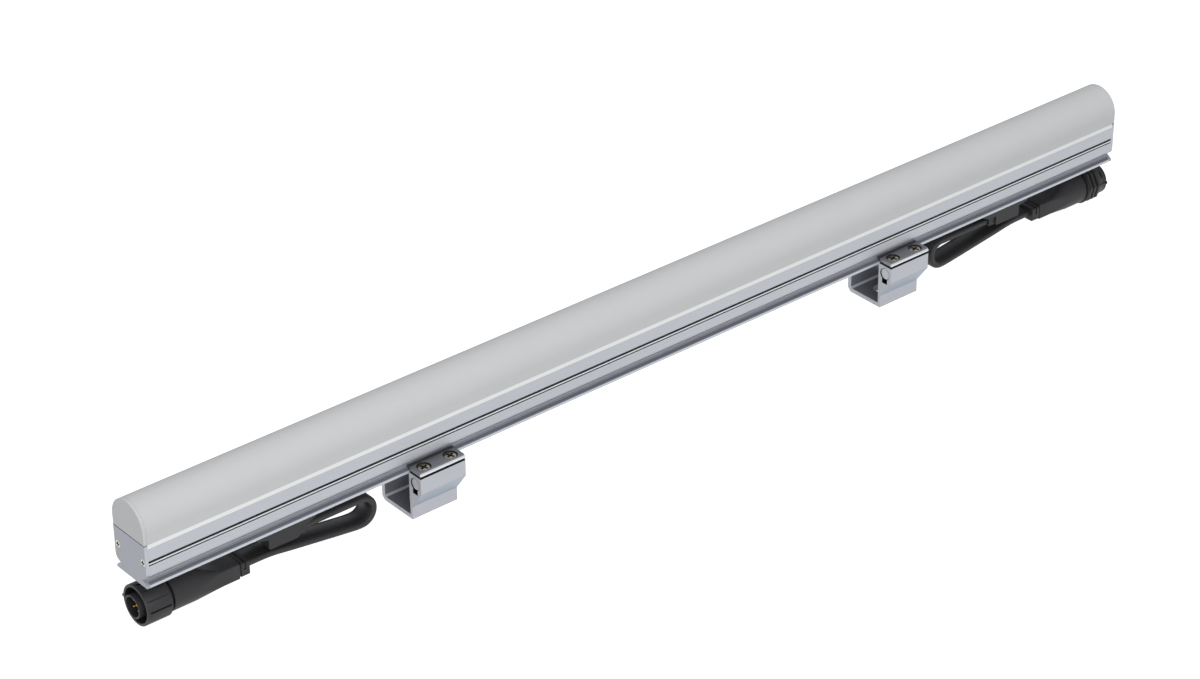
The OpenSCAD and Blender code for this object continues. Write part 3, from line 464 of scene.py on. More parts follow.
def maths(tree, operation, *values):
    """A math node; each value is a number or a socket to link."""
    made = node(tree, "ShaderNodeMath", operation=operation)
    for k, value in enumerate(values):
        if isinstance(value, (int, float)):
            made.inputs[k].default_value = value
        else:
            tree.links.new(value, made.inputs[k])
    return made.outputs[0]


def group_tree(name, inputs, outputs):
    tree = bpy.data.node_groups.new(name, "ShaderNodeTree")
    for title, value in inputs:
        socket = tree.interface.new_socket(title, in_out="INPUT", socket_type="NodeSocketFloat")
        socket.default_value = value
    for title in outputs:
        tree.interface.new_socket(title, in_out="OUTPUT", socket_type="NodeSocketFloat")
    return tree, tree.nodes.new("NodeGroupInput"), tree.nodes.new("NodeGroupOutput")


def make_surface_group(name, stretch, scales, roughness_span):
    """Fine noise and soft patches, as a tone around one, a roughness offset and a height."""
    tree, given, out = group_tree(
        name, [("Fine scale", scales[0]), ("Tone amount", 0.04), ("Patch scale", scales[1])],
        ["Tone", "Roughness offset", "Height"])
    place = node(tree, "ShaderNodeTexCoord")
    stretched = node(tree, "ShaderNodeMapping", Scale=(stretch, 1, 1))
    fine = node(tree, "ShaderNodeTexNoise", Detail=3)
    patches = node(tree, "ShaderNodeTexNoise", Detail=3)
    tree.links.new(place.outputs["Object"], stretched.inputs["Vector"])
    tree.links.new(stretched.outputs[0], fine.inputs["Vector"])
    tree.links.new(given.outputs["Fine scale"], fine.inputs["Scale"])
    tree.links.new(place.outputs["Object"], patches.inputs["Vector"])
    tree.links.new(given.outputs["Patch scale"], patches.inputs["Scale"])
    mixed = maths(tree, "MULTIPLY_ADD", fine.outputs["Fac"], 0.5,
                  maths(tree, "MULTIPLY", patches.outputs["Fac"], 0.5))
    tone = node(tree, "ShaderNodeMapRange")
    tone.inputs["From Min"].default_value = 0.3
    tone.inputs["From Max"].default_value = 0.7
    tree.links.new(mixed, tone.inputs["Value"])
    tree.links.new(maths(tree, "SUBTRACT", 1, given.outputs["Tone amount"]), tone.inputs["To Min"])
    tree.links.new(maths(tree, "ADD", 1, given.outputs["Tone amount"]), tone.inputs["To Max"])
    tree.links.new(tone.outputs[0], out.inputs["Tone"])
    offset = maths(tree, "MULTIPLY_ADD", mixed, roughness_span, -roughness_span / 2)
    tree.links.new(offset, out.inputs["Roughness offset"])
    tree.links.new(fine.outputs["Fac"], out.inputs["Height"])
    return tree


EXTRUDED = make_surface_group("extruded lines", 0.012, (900, 9), 0.16)
MOULDED = make_surface_group("moulded pebble", 1, (2600, 40), 0.24)

# %% [markdown]
# Deep slots, holes and channels read as black on the real object, because hardly any light finds
# its way in, and a slanting face reads as bluish, because it mirrors the pale room. Four small groups
# mark such places on a piece: a band along its length, a ring round an axis along it, the seats of
# the clamp screws, and a slanting face.

# %% Masks for places
def object_axes(tree):
    place = node(tree, "ShaderNodeTexCoord")
    axes = node(tree, "ShaderNodeSeparateXYZ")
    tree.links.new(place.outputs["Object"], axes.inputs[0])
    return axes.outputs


def make_band_mask():
    """One inside a band: a distance range from a middle Y, and a range of heights."""
    inputs = [("Middle Y", 0), ("Reach", 0), ("Half reach", 0.01), ("Height", 0), ("Half height", 0.01)]
    tree, given, out = group_tree("band mask", inputs, ["Mask"])
    axes = object_axes(tree)
    away = maths(tree, "ABSOLUTE", maths(tree, "SUBTRACT", axes["Y"], given.outputs["Middle Y"]))
    across = maths(tree, "COMPARE", away, given.outputs["Reach"], given.outputs["Half reach"])
    up = maths(tree, "COMPARE", axes["Z"], given.outputs["Height"], given.outputs["Half height"])
    tree.links.new(maths(tree, "MULTIPLY", across, up), out.inputs["Mask"])
    return tree


def make_channel_mask():
    """One within a range of radii round an axis along X, and a range of distances along it."""
    inputs = [("Middle Y", 0), ("Middle Z", 0), ("Radius", 0.005), ("Half radius", 0.0003), ("Along", 0),
              ("Half along", 10)]
    tree, given, out = group_tree("channel mask", inputs, ["Mask"])
    axes = object_axes(tree)
    y = maths(tree, "SUBTRACT", axes["Y"], given.outputs["Middle Y"])
    z = maths(tree, "SUBTRACT", axes["Z"], given.outputs["Middle Z"])
    radius = maths(tree, "POWER", maths(tree, "MULTIPLY_ADD", y, y, maths(tree, "MULTIPLY", z, z)), 0.5)
    wall = maths(tree, "COMPARE", radius, given.outputs["Radius"], given.outputs["Half radius"])
    along = maths(tree, "COMPARE", maths(tree, "ABSOLUTE", axes["X"]), given.outputs["Along"],
                  given.outputs["Half along"])
    tree.links.new(maths(tree, "MULTIPLY", wall, along), out.inputs["Mask"])
    return tree


def make_seat_mask():
    """One round the two clamp screws of each bracket, mirrored about the middle of the housing."""
    inputs = [("Bracket X", 243.6 * MM), ("Screw X", 12.5 * MM), ("Screw Y", 0), ("Radius", 5.8 * MM)]
    tree, given, out = group_tree("screw seat mask", inputs, ["Mask"])
    axes = object_axes(tree)
    from_bracket = maths(tree, "SUBTRACT", maths(tree, "ABSOLUTE", axes["X"]), given.outputs["Bracket X"])
    x = maths(tree, "SUBTRACT", maths(tree, "ABSOLUTE", from_bracket), given.outputs["Screw X"])
    y = maths(tree, "SUBTRACT", axes["Y"], given.outputs["Screw Y"])
    radius = maths(tree, "POWER", maths(tree, "MULTIPLY_ADD", x, x, maths(tree, "MULTIPLY", y, y)), 0.5)
    tree.links.new(maths(tree, "LESS_THAN", radius, given.outputs["Radius"]), out.inputs["Mask"])
    return tree


SLOPE_TOLERANCE = 0.4 * MM


def make_slope_mask():
    """One on a slanting face, given by its low edge and how much it rises along Y."""
    tree, given, out = group_tree("slope mask", [("Low Y", 0), ("Low Z", 0), ("Slope", 1)], ["Mask"])
    axes = object_axes(tree)
    away = maths(tree, "SUBTRACT", axes["Y"], given.outputs["Low Y"])
    height = maths(tree, "MULTIPLY_ADD", away, given.outputs["Slope"], given.outputs["Low Z"])
    tree.links.new(maths(tree, "COMPARE", axes["Z"], height, SLOPE_TOLERANCE), out.inputs["Mask"])
    return tree


BAND, CHANNEL, SEAT, SLOPE = make_band_mask(), make_channel_mask(), make_seat_mask(), make_slope_mask()
print("shader groups:", ", ".join(g.name for g in (EXTRUDED, MOULDED, BAND, CHANNEL, SEAT, SLOPE)))

# %% [markdown]
# One function builds every finish from a colour, a roughness and one of the two surface groups,
# with any masks on top. The colour is written as it should look on a plain lit surface.

# %% Finishes
def linear(value):
    """A colour value from 0 to 255, as the eye sees it, in linear light."""
    share = value / 255
    return share / 12.92 if share <= 0.04045 else ((share + 0.055) / 1.055) ** 2.4


def finish(name, look, roughness, metallic=0.0, effect=MOULDED, scale=None, tone=0.04, bump=0.05,
           depth=0.02 * MM, specular=0.5, masks=()):
    material = bpy.data.materials.new(name)
    material.use_nodes = True
    tree = material.node_tree
    shader = tree.nodes["Principled BSDF"]
    shader.inputs["Metallic"].default_value = metallic
    shader.inputs["Specular IOR Level"].default_value = specular
    group = node(tree, "ShaderNodeGroup", node_tree=effect)
    group.inputs["Tone amount"].default_value = tone
    if scale:
        group.inputs["Fine scale"].default_value = scale
    grey = node(tree, "ShaderNodeCombineColor")
    for channel in ("Red", "Green", "Blue"):
        tree.links.new(group.outputs["Tone"], grey.inputs[channel])
    mix = node(tree, "ShaderNodeMix", data_type="RGBA", blend_type="MULTIPLY", Factor=1)
    mix.inputs[6].default_value = [linear(v) for v in look] + [1]
    tree.links.new(grey.outputs[0], mix.inputs[7])
    colour = mix.outputs[2]
    # Each mask lays painted light or shade over the colour: painted shade in hollows and gaps, painted
    # highlights on edges.
    for mask_tree, values, dark in masks:
        mask = node(tree, "ShaderNodeGroup", node_tree=mask_tree)
        for title, value in values.items():
            mask.inputs[title].default_value = value
        over = node(tree, "ShaderNodeMix", data_type="RGBA")
        tree.links.new(mask.outputs["Mask"], over.inputs[0])
        tree.links.new(colour, over.inputs[6])
        over.inputs[7].default_value = [linear(v) for v in dark] + [1]
        colour = over.outputs[2]
    tree.links.new(colour, shader.inputs["Base Color"])
    rough = node(tree, "ShaderNodeMath", operation="ADD", use_clamp=True)
    rough.inputs[0].default_value = roughness
    tree.links.new(group.outputs["Roughness offset"], rough.inputs[1])
    tree.links.new(rough.outputs[0], shader.inputs["Roughness"])
    bumps = node(tree, "ShaderNodeBump", Strength=bump, Distance=depth)
    tree.links.new(group.outputs["Height"], bumps.inputs["Height"])
    tree.links.new(bumps.outputs[0], shader.inputs["Normal"])
    return material


def spans(**ranges):
    """The middle and half width of each range, as the masks want them, from millimetres."""
    values = {}
    for title, (low, high) in ranges.items():
        values[title] = (low + high) / 2 * MM
        values["Half " + title.lower()] = (high - low) / 2 * MM
    return values


def bands(reach, height, colour):
    """A band of painted light or shade on each side of the housing, by its distance from the housing's middle
    and its height.
    """
    return BAND, {"Middle Y": CENTRE_Y, **spans(Reach=reach, Height=height)}, colour


def strip(y, z, colour):
    """A single band of painted light or shade, from its ranges of Y and Z."""
    half = (y[1] - y[0]) / 2
    return BAND, {"Middle Y": (y[0] + half) * MM, **spans(Reach=(-half, half), Height=z)}, colour


def around(axis, radius, along, colour):
    """A ring of painted light or shade round an axis (y, z), by its range of radii and its distance from the
    middle of the object.
    """
    return CHANNEL, {"Middle Y": axis[0], "Middle Z": axis[1], **spans(Radius=radius, Along=along)}, colour


# %% [markdown]
# Painted light and shade on the metal. On the housing, the notch above its flange gets painted light on
# its slope, painted shade along its fine grooves, at the slope's foot and on the round edge under the
# body, and a painted highlight on the flange's edge. The slot and the groove along its side get painted
# shade, and the lip between them a painted highlight. The brackets get a painted reflection on their
# slanting face and painted shade inside, in the channel of the nut bar and under their clamp plates; the
# plates get painted shade round their screws and a painted highlight on their front edge. All ranges are
# in millimetres.

# %% Painted light and shade on the metal
SCREW_Y = -21 * MM
BAR_Z = 33.8 * MM
ALL_ALONG = (-10000, 10000)
# Near-black painted shade for deep slots, gaps and notches
DEEP_SHADE = (8, 8, 9)
DARK_SHADE = (10, 10, 11)
# Heights of the notch's slope, and the lines of painted shade along its fine grooves
NOTCH_HEIGHT = (43.1, 46.9)
NOTCH_SHADE_LINES = [(15.37, 15.63), (16.07, 16.33)]
HOUSING_LIGHT_AND_SHADE = [
    # painted light: the notch's slope kept light and purplish grey where it lies in shade
    bands((14, 18.8), NOTCH_HEIGHT, (190, 188, 196)),
    # painted shade along the fine grooves of the notch's slope
    *[bands(line, NOTCH_HEIGHT, (134, 132, 141)) for line in NOTCH_SHADE_LINES],
    # painted shade at the foot of the notch's slope
    bands((16.9, 19.3), (43, 46.7), (118, 122, 130)),  # foot of the notch's slope
    # painted shade on the round edge under the body, which faces down
    bands((17.75, 20.05), (47.75, 50.05), (52, 56, 64)),  # round edge under the body
    # painted highlight on the edge of the flange
    bands((19, 19.6), (40.9, 43), (196, 199, 204)),  # edge of the flange
    # painted shade in the slot
    bands((9.98, 20.02), (62.6, 64), DEEP_SHADE),  # upper part of the slot
    bands((9.95, 19.25), (61.4, 62.8), DEEP_SHADE),  # floor of the slot
    # painted highlight on the lip between slot and groove
    bands((19.25, 20.05), (60.8, 62), (222, 223, 226)),  # lip between slot and groove
    # painted shade in the groove
    bands((18.95, 20.05), (59.8, 60.8), (34, 36, 40)),  # groove
]
BRACKET_LIGHT_AND_SHADE = [
    # painted reflection: the slanting face bluish, as if it mirrors the pale room
    (SLOPE, {"Low Y": -16.4 * MM, "Low Z": 11.2 * MM, "Slope": -1.378}, (163, 173, 184)),
    # painted shade in the channel of the nut bar
    around((SCREW_Y, BAR_Z), (4.8, 5.3), ALL_ALONG, (14, 14, 15)),  # channel of the nut bar
    # painted shade in the notch under the nut bar
    strip((-23.95, -18.05), (24.95, 29.85), DARK_SHADE),  # notch under the nut bar
    # painted shade inside the bracket
    strip((-13.91, 18.21), (3.65, 36.95), (130, 131, 138)),  # inside
    # painted highlight on the round corner at the back of the floor
    strip((16.6, 18.2), (3.7, 5.3), (205, 207, 212)),  # round corner at the back of the floor
    # painted shade in the gap under the clamp plate
    strip((-28.73, -14.67), (41.3, 42.5), DARK_SHADE),  # gap under the clamp plate
]
PLATE_LIGHT_AND_SHADE = [
    # painted highlight on the front edge
    strip((-28.5, -27.5), (43.5, 45.9), (228, 230, 234)),  # front edge
    strip((-14.85, -10.95), (44, 48), (84, 85, 90)),  # back, in the housing's shade
    # painted shade round the seats of the clamp screws
    (SEAT, {"Screw Y": SCREW_Y}, (16, 16, 15)),
    # painted shade on the underside
    strip((-28.35, -10.95), (42.4, 43.6), DARK_SHADE),  # underside
]

# %% [markdown]
# The finishes themselves, one for every material slot of the CAD nodes. The connectors get three black
# plastics of their own, because each has painted shade in its own hollows and gaps.

# %% All finishes
AXIS = (AXIS_Y, AXIS_Z)
# Painted light: the cap's front and back sides lighter than its shaded end face.
CAP_SIDE_LIGHT = bands((19.85, 20.15), (40, 80), (188, 192, 198))
# Painted shade: everything deeper than the cap screws' faces, such as their cross recesses, is near black.
CROSS_SHADE = around(AXIS, (-100, 100), (-499.62, 499.62), (16, 16, 15))  # deeper than the screws' faces


def black_nylon(name, roughness=0.5, masks=()):
    return finish(name, (44, 44, 45), roughness, scale=1800, tone=0.08, bump=0.12, specular=0.3, masks=masks)


FINISHES = {
    "housing": finish("anodised housing", (186, 189, 194), 0.42, metallic=0.35, effect=EXTRUDED,
                      masks=HOUSING_LIGHT_AND_SHADE),
    "bracket": finish("anodised bracket", (184, 186, 191), 0.44, metallic=0.35, effect=EXTRUDED, scale=700,
                      masks=BRACKET_LIGHT_AND_SHADE),
    "end_cap": finish("blasted end cap", (162, 163, 171), 0.5, metallic=0.3, scale=3500, tone=0.03,
                      masks=[CAP_SIDE_LIGHT]),
    # The plate is the same anodised metal as the bracket; its darker colour is painted shade from the housing
    # above it, on top of what its metal really mirrors.
    "clamp_plate": finish("anodised clamp plate", (135, 136, 141), 0.43, metallic=0.5, effect=EXTRUDED,
                          scale=700, masks=PLATE_LIGHT_AND_SHADE),
    "diffuser": finish("milky diffuser", (204, 204, 203), 0.85, scale=600, tone=0.01, bump=0.02,
                       specular=0.05),
    "seal_strip": finish("pale silicone", (238, 238, 236), 0.65, scale=900, tone=0.02),
    "gasket": finish("dark rubber", (26, 26, 27), 0.7),
    "black_plastic": black_nylon("black nylon"),
    "cable_jacket": finish("cable jacket", (38, 38, 39), 0.45, scale=900, tone=0.06, specular=0.35),
    "insert": finish("black insert", (18, 18, 19), 0.45),
    "contact": finish("gold contact", (222, 168, 58), 0.25, metallic=0.95, scale=900, tone=0.05, bump=0.02),
    "small_screw": finish("nickel screw", (206, 200, 180), 0.22, metallic=0.9, scale=900, tone=0.1,
                          bump=0.03, masks=[CROSS_SHADE]),
    "clamp_screw": finish("plated clamp screw", (212, 204, 184), 0.2, metallic=0.92, scale=900,
                          tone=0.22, bump=0.2, depth=0.05 * MM,
                          # painted shade in the cross recess and on the shank below the head
                          masks=[strip((-27, -15), (24.38, 45.62), (150, 142, 112))]),
    "nut_bar": finish("plain steel bar", (190, 192, 195), 0.45, metallic=0.5, scale=1200, tone=0.06),
    "led_board": finish("white board", (232, 232, 228), 0.45),
    "led": finish("led body", (236, 226, 170), 0.35),
    "driver_board": finish("green board", (34, 98, 60), 0.4),
    "component": finish("moulded component", (34, 34, 36), 0.5),
    "wire": finish("wire insulation", (150, 40, 34), 0.45),
}
# Painted shade in the nut's grooves.
NUT_FINISH = black_nylon("black nylon nut", 0.48, masks=[
    around(AXIS, (14.35, 16.25), (480.2, 498.2), (14, 14, 14)),
])
# Painted shade in the sleeve's bore and slits, on the disc next to the barrel and on the core under the ribs.
SOCKET_FINISH = black_nylon("black nylon socket", masks=[
    around(AXIS, (0, 13.8), (489.85, 499.95), (12, 12, 12)),
    around(AXIS, (13.1, 16.1), (474.85, 477.35), (24, 24, 24)),
    around(AXIS, (12.5, 14.3), (474.3, 489.7), (12, 12, 12)),
])
# Painted shade on the neck between the barrel and the nut.
PLUG_FINISH = black_nylon("black nylon plug", masks=[
    around(AXIS, (11.7, 13.1), (475.7, 477.7), (10, 10, 10)),
])
print(len(FINISHES) + 3, "finishes")

# %% [markdown]
# Every CAD node first gets the finish of its slot. The pieces made below then take the place of
# the nodes that the eye can reach.

# %% Finishes on the CAD nodes
SLOT_OF = {item["node"]: item["material_slot"] for item in frame["record"]["subparts"]}
BODY_OF = {member: body for body, members in frame["record"]["behaviour"]["bodies"].items()
           for member in members}
for cad_node, thing in frame["nodes"].items():
    thing.data.materials.clear()
    thing.data.materials.append(FINISHES[SLOT_OF[cad_node]])


def finish_as(piece, *nodes, material=None):
    """Finishes a piece with the body and slot of the first node that it stands for."""
    slot = SLOT_OF[nodes[0]]
    return finish_piece(piece, BODY_OF[nodes[0]], slot, material or FINISHES[slot], *nodes)


def finish_for(cad_node):
    return FINISHES[SLOT_OF[cad_node]]


for side_name, cable in cables.items():
    finish_as(cable, side_name + "_cable")

# %% [markdown]
# The metal pieces are cut from extruded bar, so their long edges are drawn smooth by the die and
# their ends are sawn and lightly broken. A dressed copy with a small bevel shows just that.

# %% Dressed metal and gland pieces
# Width of each rounding, in millimetres
DRESSED = {
    "housing_profile": 0.12, "left_end_cap": 0.3, "right_end_cap": 0.3,
    "left_bracket_base": 0.4, "right_bracket_base": 0.4, "left_clamp_plate": 0.2, "right_clamp_plate": 0.2,
    "left_gland_block": 0.4, "right_gland_block": 0.4, "left_nut_bar": 0.4, "right_nut_bar": 0.4,
}
for cad_node, width in DRESSED.items():
    piece = finish_as(dressed(cad_node, width * MM), cad_node)
    print(piece.name, len(piece.data.polygons), "faces")

# %% [markdown]
# The diffuser is one long extrusion of milky plastic: a half-round roof on straight sides, with
# two feet that stand inside the metal. The CAD arc is coarse, so this one is drawn again in small
# steps; from the end it shows the same wall and feet.

# %% Diffuser
ARC_STEPS = 72
DOME_Z = BASE_Z + 45.8 * MM
DOME_RADIUS, INNER_RADIUS, PLATE_RADIUS = 19.97 * MM, 18 * MM, 20 * MM
FOOT_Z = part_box("diffuser")[0].z
SEAM_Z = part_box("left_diffuser_end")[0].z
OUTER_FOOT = [(18.3 * MM, FOOT_Z), (18.3 * MM, SEAM_Z), (20 * MM, SEAM_Z)]
INNER_FOOT = [(16.5 * MM, FOOT_Z), (16.5 * MM, SEAM_Z + 2 * MM), (18 * MM, SEAM_Z + 2 * MM)]


def arc(radius):
    """Points (y, z) over the dome, from its front to its back side."""
    angles = [math.pi * k / ARC_STEPS for k in range(ARC_STEPS + 1)]
    return [(CENTRE_Y + radius * math.cos(a), DOME_Z + radius * math.sin(a)) for a in angles]


def outline_over(foot, radius):
    """The foot's points, an arc over the dome, and the foot's points back down the other side."""
    there = [(CENTRE_Y + y, z) for y, z in foot]
    back = [(CENTRE_Y - y, z) for y, z in reversed(foot)]
    return there + arc(radius) + back


shell_outline = outline_over(OUTER_FOOT, DOME_RADIUS) + outline_over(INNER_FOOT, INNER_RADIUS)[::-1]
low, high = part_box("diffuser")
diffuser = smooth_shade(slab("diffuser_shell", shell_outline, low.x, high.x))
finish_as(diffuser, "diffuser")
print(diffuser.name, len(diffuser.data.polygons), "faces")

# %% [markdown]
# Each end of the diffuser is closed by a flat plate with the diffuser's own outline.

# %% Diffuser end plates
PLATE_ROUNDING = 0.3 * MM
plate_outline = outline_over([(PLATE_RADIUS, SEAM_Z)], PLATE_RADIUS)
for side_name in ("left", "right"):
    low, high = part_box(side_name + "_diffuser_end")
    plate = rounded(slab(side_name + "_end_plate", plate_outline, low.x, high.x), PLATE_ROUNDING)
    finish_as(plate, side_name + "_diffuser_end")

# %% [markdown]
# All screws here have a cross recess. A screw is turned as a skin of rings: a flat head with a
# broken edge, a cone under it and a plain shank. The cross is then sunk into its head. It is made
# lying along X with its head's face at zero, and then turned to where it belongs.

# %% Cross-recess screws
HEAD_EDGE, CROSS_ARM, CROSS_REACH, CROSS_DEPTH, CROSS_ROUNDING = 0.04, 0.1, 0.37, 0.24, 0.012
CAP_SCREW_HEAD, CAP_SCREW_SHANK = 6 * MM, 3 * MM
CLAMP_SCREW_HEAD, CLAMP_SCREW_SHANK = 10 * MM, 5 * MM
CLAMP_SCREW_TURN = math.radians(20)


def screw(name, head, shank, length):
    """A screw along X; its edge and its cross are shares of the head's width."""
    radius, edge = head / 2, head * HEAD_EDGE
    cone = radius - shank / 2
    rings = [ring(0, radius - 2 * edge), ring(-edge, radius), ring(-2 * edge, radius),
             ring(-2 * edge - cone, shank / 2), ring(-length + edge, shank / 2),
             ring(-length, shank / 2 - edge)]
    piece = skin(name, rings)
    arm, reach, depth = head * CROSS_ARM, head * CROSS_REACH, head * CROSS_DEPTH
    cross = [(reach, arm), (arm, arm), (arm, reach), (-arm, reach), (-arm, arm), (-reach, arm),
             (-reach, -arm), (-arm, -arm), (-arm, -reach), (arm, -reach), (arm, -arm), (reach, -arm)]
    cut(piece, slab(name + "_cross", cross, -depth, 10 * MM))
    return rounded(piece, head * CROSS_ROUNDING)


def half_turn(side):
    """The matrix that turns a piece made for the right end to the given end."""
    return Matrix.Identity(4) if side > 0 else Matrix.Rotation(math.pi, 4, "Z")


for side_name, side in SIDES:
    cad_node = side_name + "_end_screws"
    low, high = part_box(cad_node)
    template = screw(cad_node + "_one", CAP_SCREW_HEAD, CAP_SCREW_SHANK, high.x - low.x)
    start = (high.x if side > 0 else low.x, low.y + CAP_SCREW_HEAD / 2, (low.z + high.z) / 2)
    spacing = (0, high.y - low.y - CAP_SCREW_HEAD, 0)
    moved(template, half_turn(side))
    pair = copies(side_name + "_cap_screws", template, 2, finish_for(cad_node), start, spacing)
    finish_as(smooth_shade(pair), cad_node)
    for letter in "ab":
        cad_node = f"{side_name}_clamp_screw_{letter}"
        low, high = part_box(cad_node)
        piece = screw(cad_node + "_shaped", CLAMP_SCREW_HEAD, CLAMP_SCREW_SHANK, high.z - low.z)
        turned = Matrix.Rotation(-math.pi / 2, 4, "Y") @ Matrix.Rotation(CLAMP_SCREW_TURN, 4, "X")
        place = Matrix.Translation(((low.x + high.x) / 2, (low.y + high.y) / 2, high.z))
        finish_as(moved(piece, place @ turned), cad_node)

# %% [markdown]
# Both connectors begin in the same way. A flat collar grips the cable, a boot follows that is a
# little larger, and the boot flows into a round barrel. One skin runs over all of it; it is made
# along X with the axis of the barrel at zero, and mirrored for the left end.

# %% Connector boots
COLLAR_X = END_X / MM - 91
BOOT_X = COLLAR_X + 9.5
TAPER_X = BOOT_X + 13.5
TAPER_LENGTH = 22.5
TAPER_STEPS = 12
TAPER_SWELL = 1.35
BOOT_DROP = -0.65
BOOT_HALF_WIDTH, BOOT_HALF_HEIGHT, BOOT_CORNER = 12.75, 7.1, 1.6
BARREL_RADIUS = 14.65
# Distance along X, half width and half height of each flat ring, in millimetres
BOOT_STEPS = [
    (COLLAR_X, 12.4, 5.6), (COLLAR_X + 0.4, 12.8, 6), (BOOT_X - 1.9, 12.8, 6), (BOOT_X - 1.8, 12.6, 5.8),
    (BOOT_X - 1.7, 11.9, 5.1), (BOOT_X - 0.7, 11.9, 5.1), (BOOT_X - 0.7, 12.3, 6.4),
    (BOOT_X - 0.5, 12.55, 6.8), (BOOT_X, BOOT_HALF_WIDTH, BOOT_HALF_HEIGHT),
]


def boot_rings():
    """The flat collar and boot, and the taper that flows into the round barrel."""
    rings = [ring(x * MM, half_width * MM, half_height * MM, BOOT_CORNER * MM, BOOT_DROP * MM)
             for x, half_width, half_height in BOOT_STEPS]
    for k in range(TAPER_STEPS + 1):
        share = k / TAPER_STEPS
        swell = share ** TAPER_SWELL
        half_width = BOOT_HALF_WIDTH + (BARREL_RADIUS - BOOT_HALF_WIDTH) * share
        half_height = BOOT_HALF_HEIGHT + (BARREL_RADIUS - BOOT_HALF_HEIGHT) * swell
        corner = BOOT_CORNER + (BARREL_RADIUS - BOOT_CORNER) * swell
        rings.append(ring((TAPER_X + TAPER_LENGTH * share) * MM, half_width * MM, half_height * MM,
                          corner * MM, BOOT_DROP * (1 - share) * MM))
    return rings


def round_rings(steps):
    """Circles from pairs of distance along X and radius, both in millimetres."""
    return [ring(x * MM, radius * MM) for x, radius in steps]


def box_cutter(name, x, y, z, turn=0.0):
    """A box from ranges in millimetres, turned about the axis of the connector."""
    outline = [(y[a] * MM, z[b] * MM) for a, b in ((0, 0), (1, 0), (1, 1), (0, 1))]
    return moved(slab(name, outline, x[0] * MM, x[1] * MM), Matrix.Rotation(math.radians(turn), 4, "X"))


def collar_cutters(name):
    """The short grooves of the collar: one over its top and down its front, one up from below."""
    groove = (COLLAR_X + 3.4, COLLAR_X + 5.4)
    return [box_cutter(name + "_top", groove, (-14, 6), (4.45, 8)),
            box_cutter(name + "_front", groove, (-14, -12), (-0.6, 4.6)),
            box_cutter(name + "_low", groove, (-14, -12), (-9, -4.6))]


def at_connector(piece, side):
    """Puts a piece made on the axis at the left or right connector."""
    flip = Matrix.Scale(-1, 4, (1, 0, 0)) if side < 0 else Matrix.Identity(4)
    return moved(piece, Matrix.Translation((0, AXIS_Y, AXIS_Z)) @ flip)


print(len(boot_rings()), "rings in each collar, boot and taper")

# %% [markdown]
# The left connector carries the pins. In front of its barrel runs a narrow neck, and from there a
# thin shell reaches forward through the coupling nut, round the sunk insert and its contacts.

# %% Left connector body and contacts
# Distance along X and radius, in millimetres: end of the barrel, neck, and shell round the contacts
LEFT_STEPS = [
    (475.3, 14.65), (475.8, 14.2), (475.8, 12.45), (477.5, 12.45), (477.5, 9.5), (503.2, 9.5), (503.5, 9.2),
    (503.5, 8.3), (503.2, 8), (487, 8),
]
PIN_STEPS = [(487, 0.8), (499.3, 0.8), (500.0, 0.68), (500.35, 0.42), (500.5, 0.15)]
PIN_CIRCLE = 4.4 * MM
PIN_TURN = math.radians(53)
QUARTER_TURN = math.pi / 2

left_body = skin("left_connector_shaped", boot_rings() + round_rings(LEFT_STEPS))
cut(left_body, *collar_cutters("left_collar"))
finish_as(at_connector(smooth_shade(left_body), -1), "left_connector_body", material=PLUG_FINISH)

pin = moved(skin("pin", round_rings(PIN_STEPS)), Matrix.Translation((0, 0, PIN_CIRCLE)))
contacts = copies("left_pins_outer", pin, 4, finish_for("left_contact_pins"), first_turn=PIN_TURN,
                  turn_step=QUARTER_TURN)
finish_as(at_connector(smooth_shade(contacts), -1), "left_contact_pins")
centre_pin = at_connector(smooth_shade(skin("left_pin_centre", round_rings(PIN_STEPS))), -1)
finish_as(centre_pin, "left_contact_pins")

# %% [markdown]
# The coupling nut turns loosely on the shell. Wide grooves give the fingers hold at every quarter
# turn, with two fine lines between each pair; the rims stay plain. The grooves are cut from rings
# of copies of one box.

# %% Coupling nut
NUT_RADIUS = 16.45
NUT_GROOVES = (480.2, 498.1)
NUT_STEPS = [
    (477.8, 9.8), (477.8, 14.85), (479.4, NUT_RADIUS), (500, NUT_RADIUS), (500.35, 16.3), (500.5, 15.95),
    (500.5, 14.5), (500.2, 14.2), (479.8, 14.2), (479.8, 9.8),
]


def groove_ring(name, first_turn, width, depth):
    """Cutters for four grooves, a quarter turn apart."""
    box = box_cutter(name + "_one", NUT_GROOVES, (-width / 2, width / 2), (NUT_RADIUS - depth, 18))
    return copies(name, box, 4, FINISHES["black_plastic"], first_turn=math.radians(first_turn),
                  turn_step=QUARTER_TURN)


nut = skin("left_nut_shaped", round_rings(NUT_STEPS), looped=True)
cut(nut, groove_ring("wide_grooves", -2, width=1.8, depth=0.8),
    groove_ring("fine_lines_a", 28, width=0.5, depth=0.35),
    groove_ring("fine_lines_b", 58, width=0.5, depth=0.35))
finish_as(at_connector(smooth_shade(nut), -1), "left_coupling_nut", material=NUT_FINISH)
nub = rounded(box_cutter("left_nut_nub", (497.2, 500.3), (-1.1, 1.1), (15.6, 18.2), -90), 0.3 * MM)
finish_as(at_connector(nub, -1), "left_coupling_nut", material=NUT_FINISH)

# %% [markdown]
# The right connector is the socket. A thin rim closes its barrel, three ribs beyond it give hold, and
# a smooth cone leads to the sleeve that takes the nut of the next luminaire.

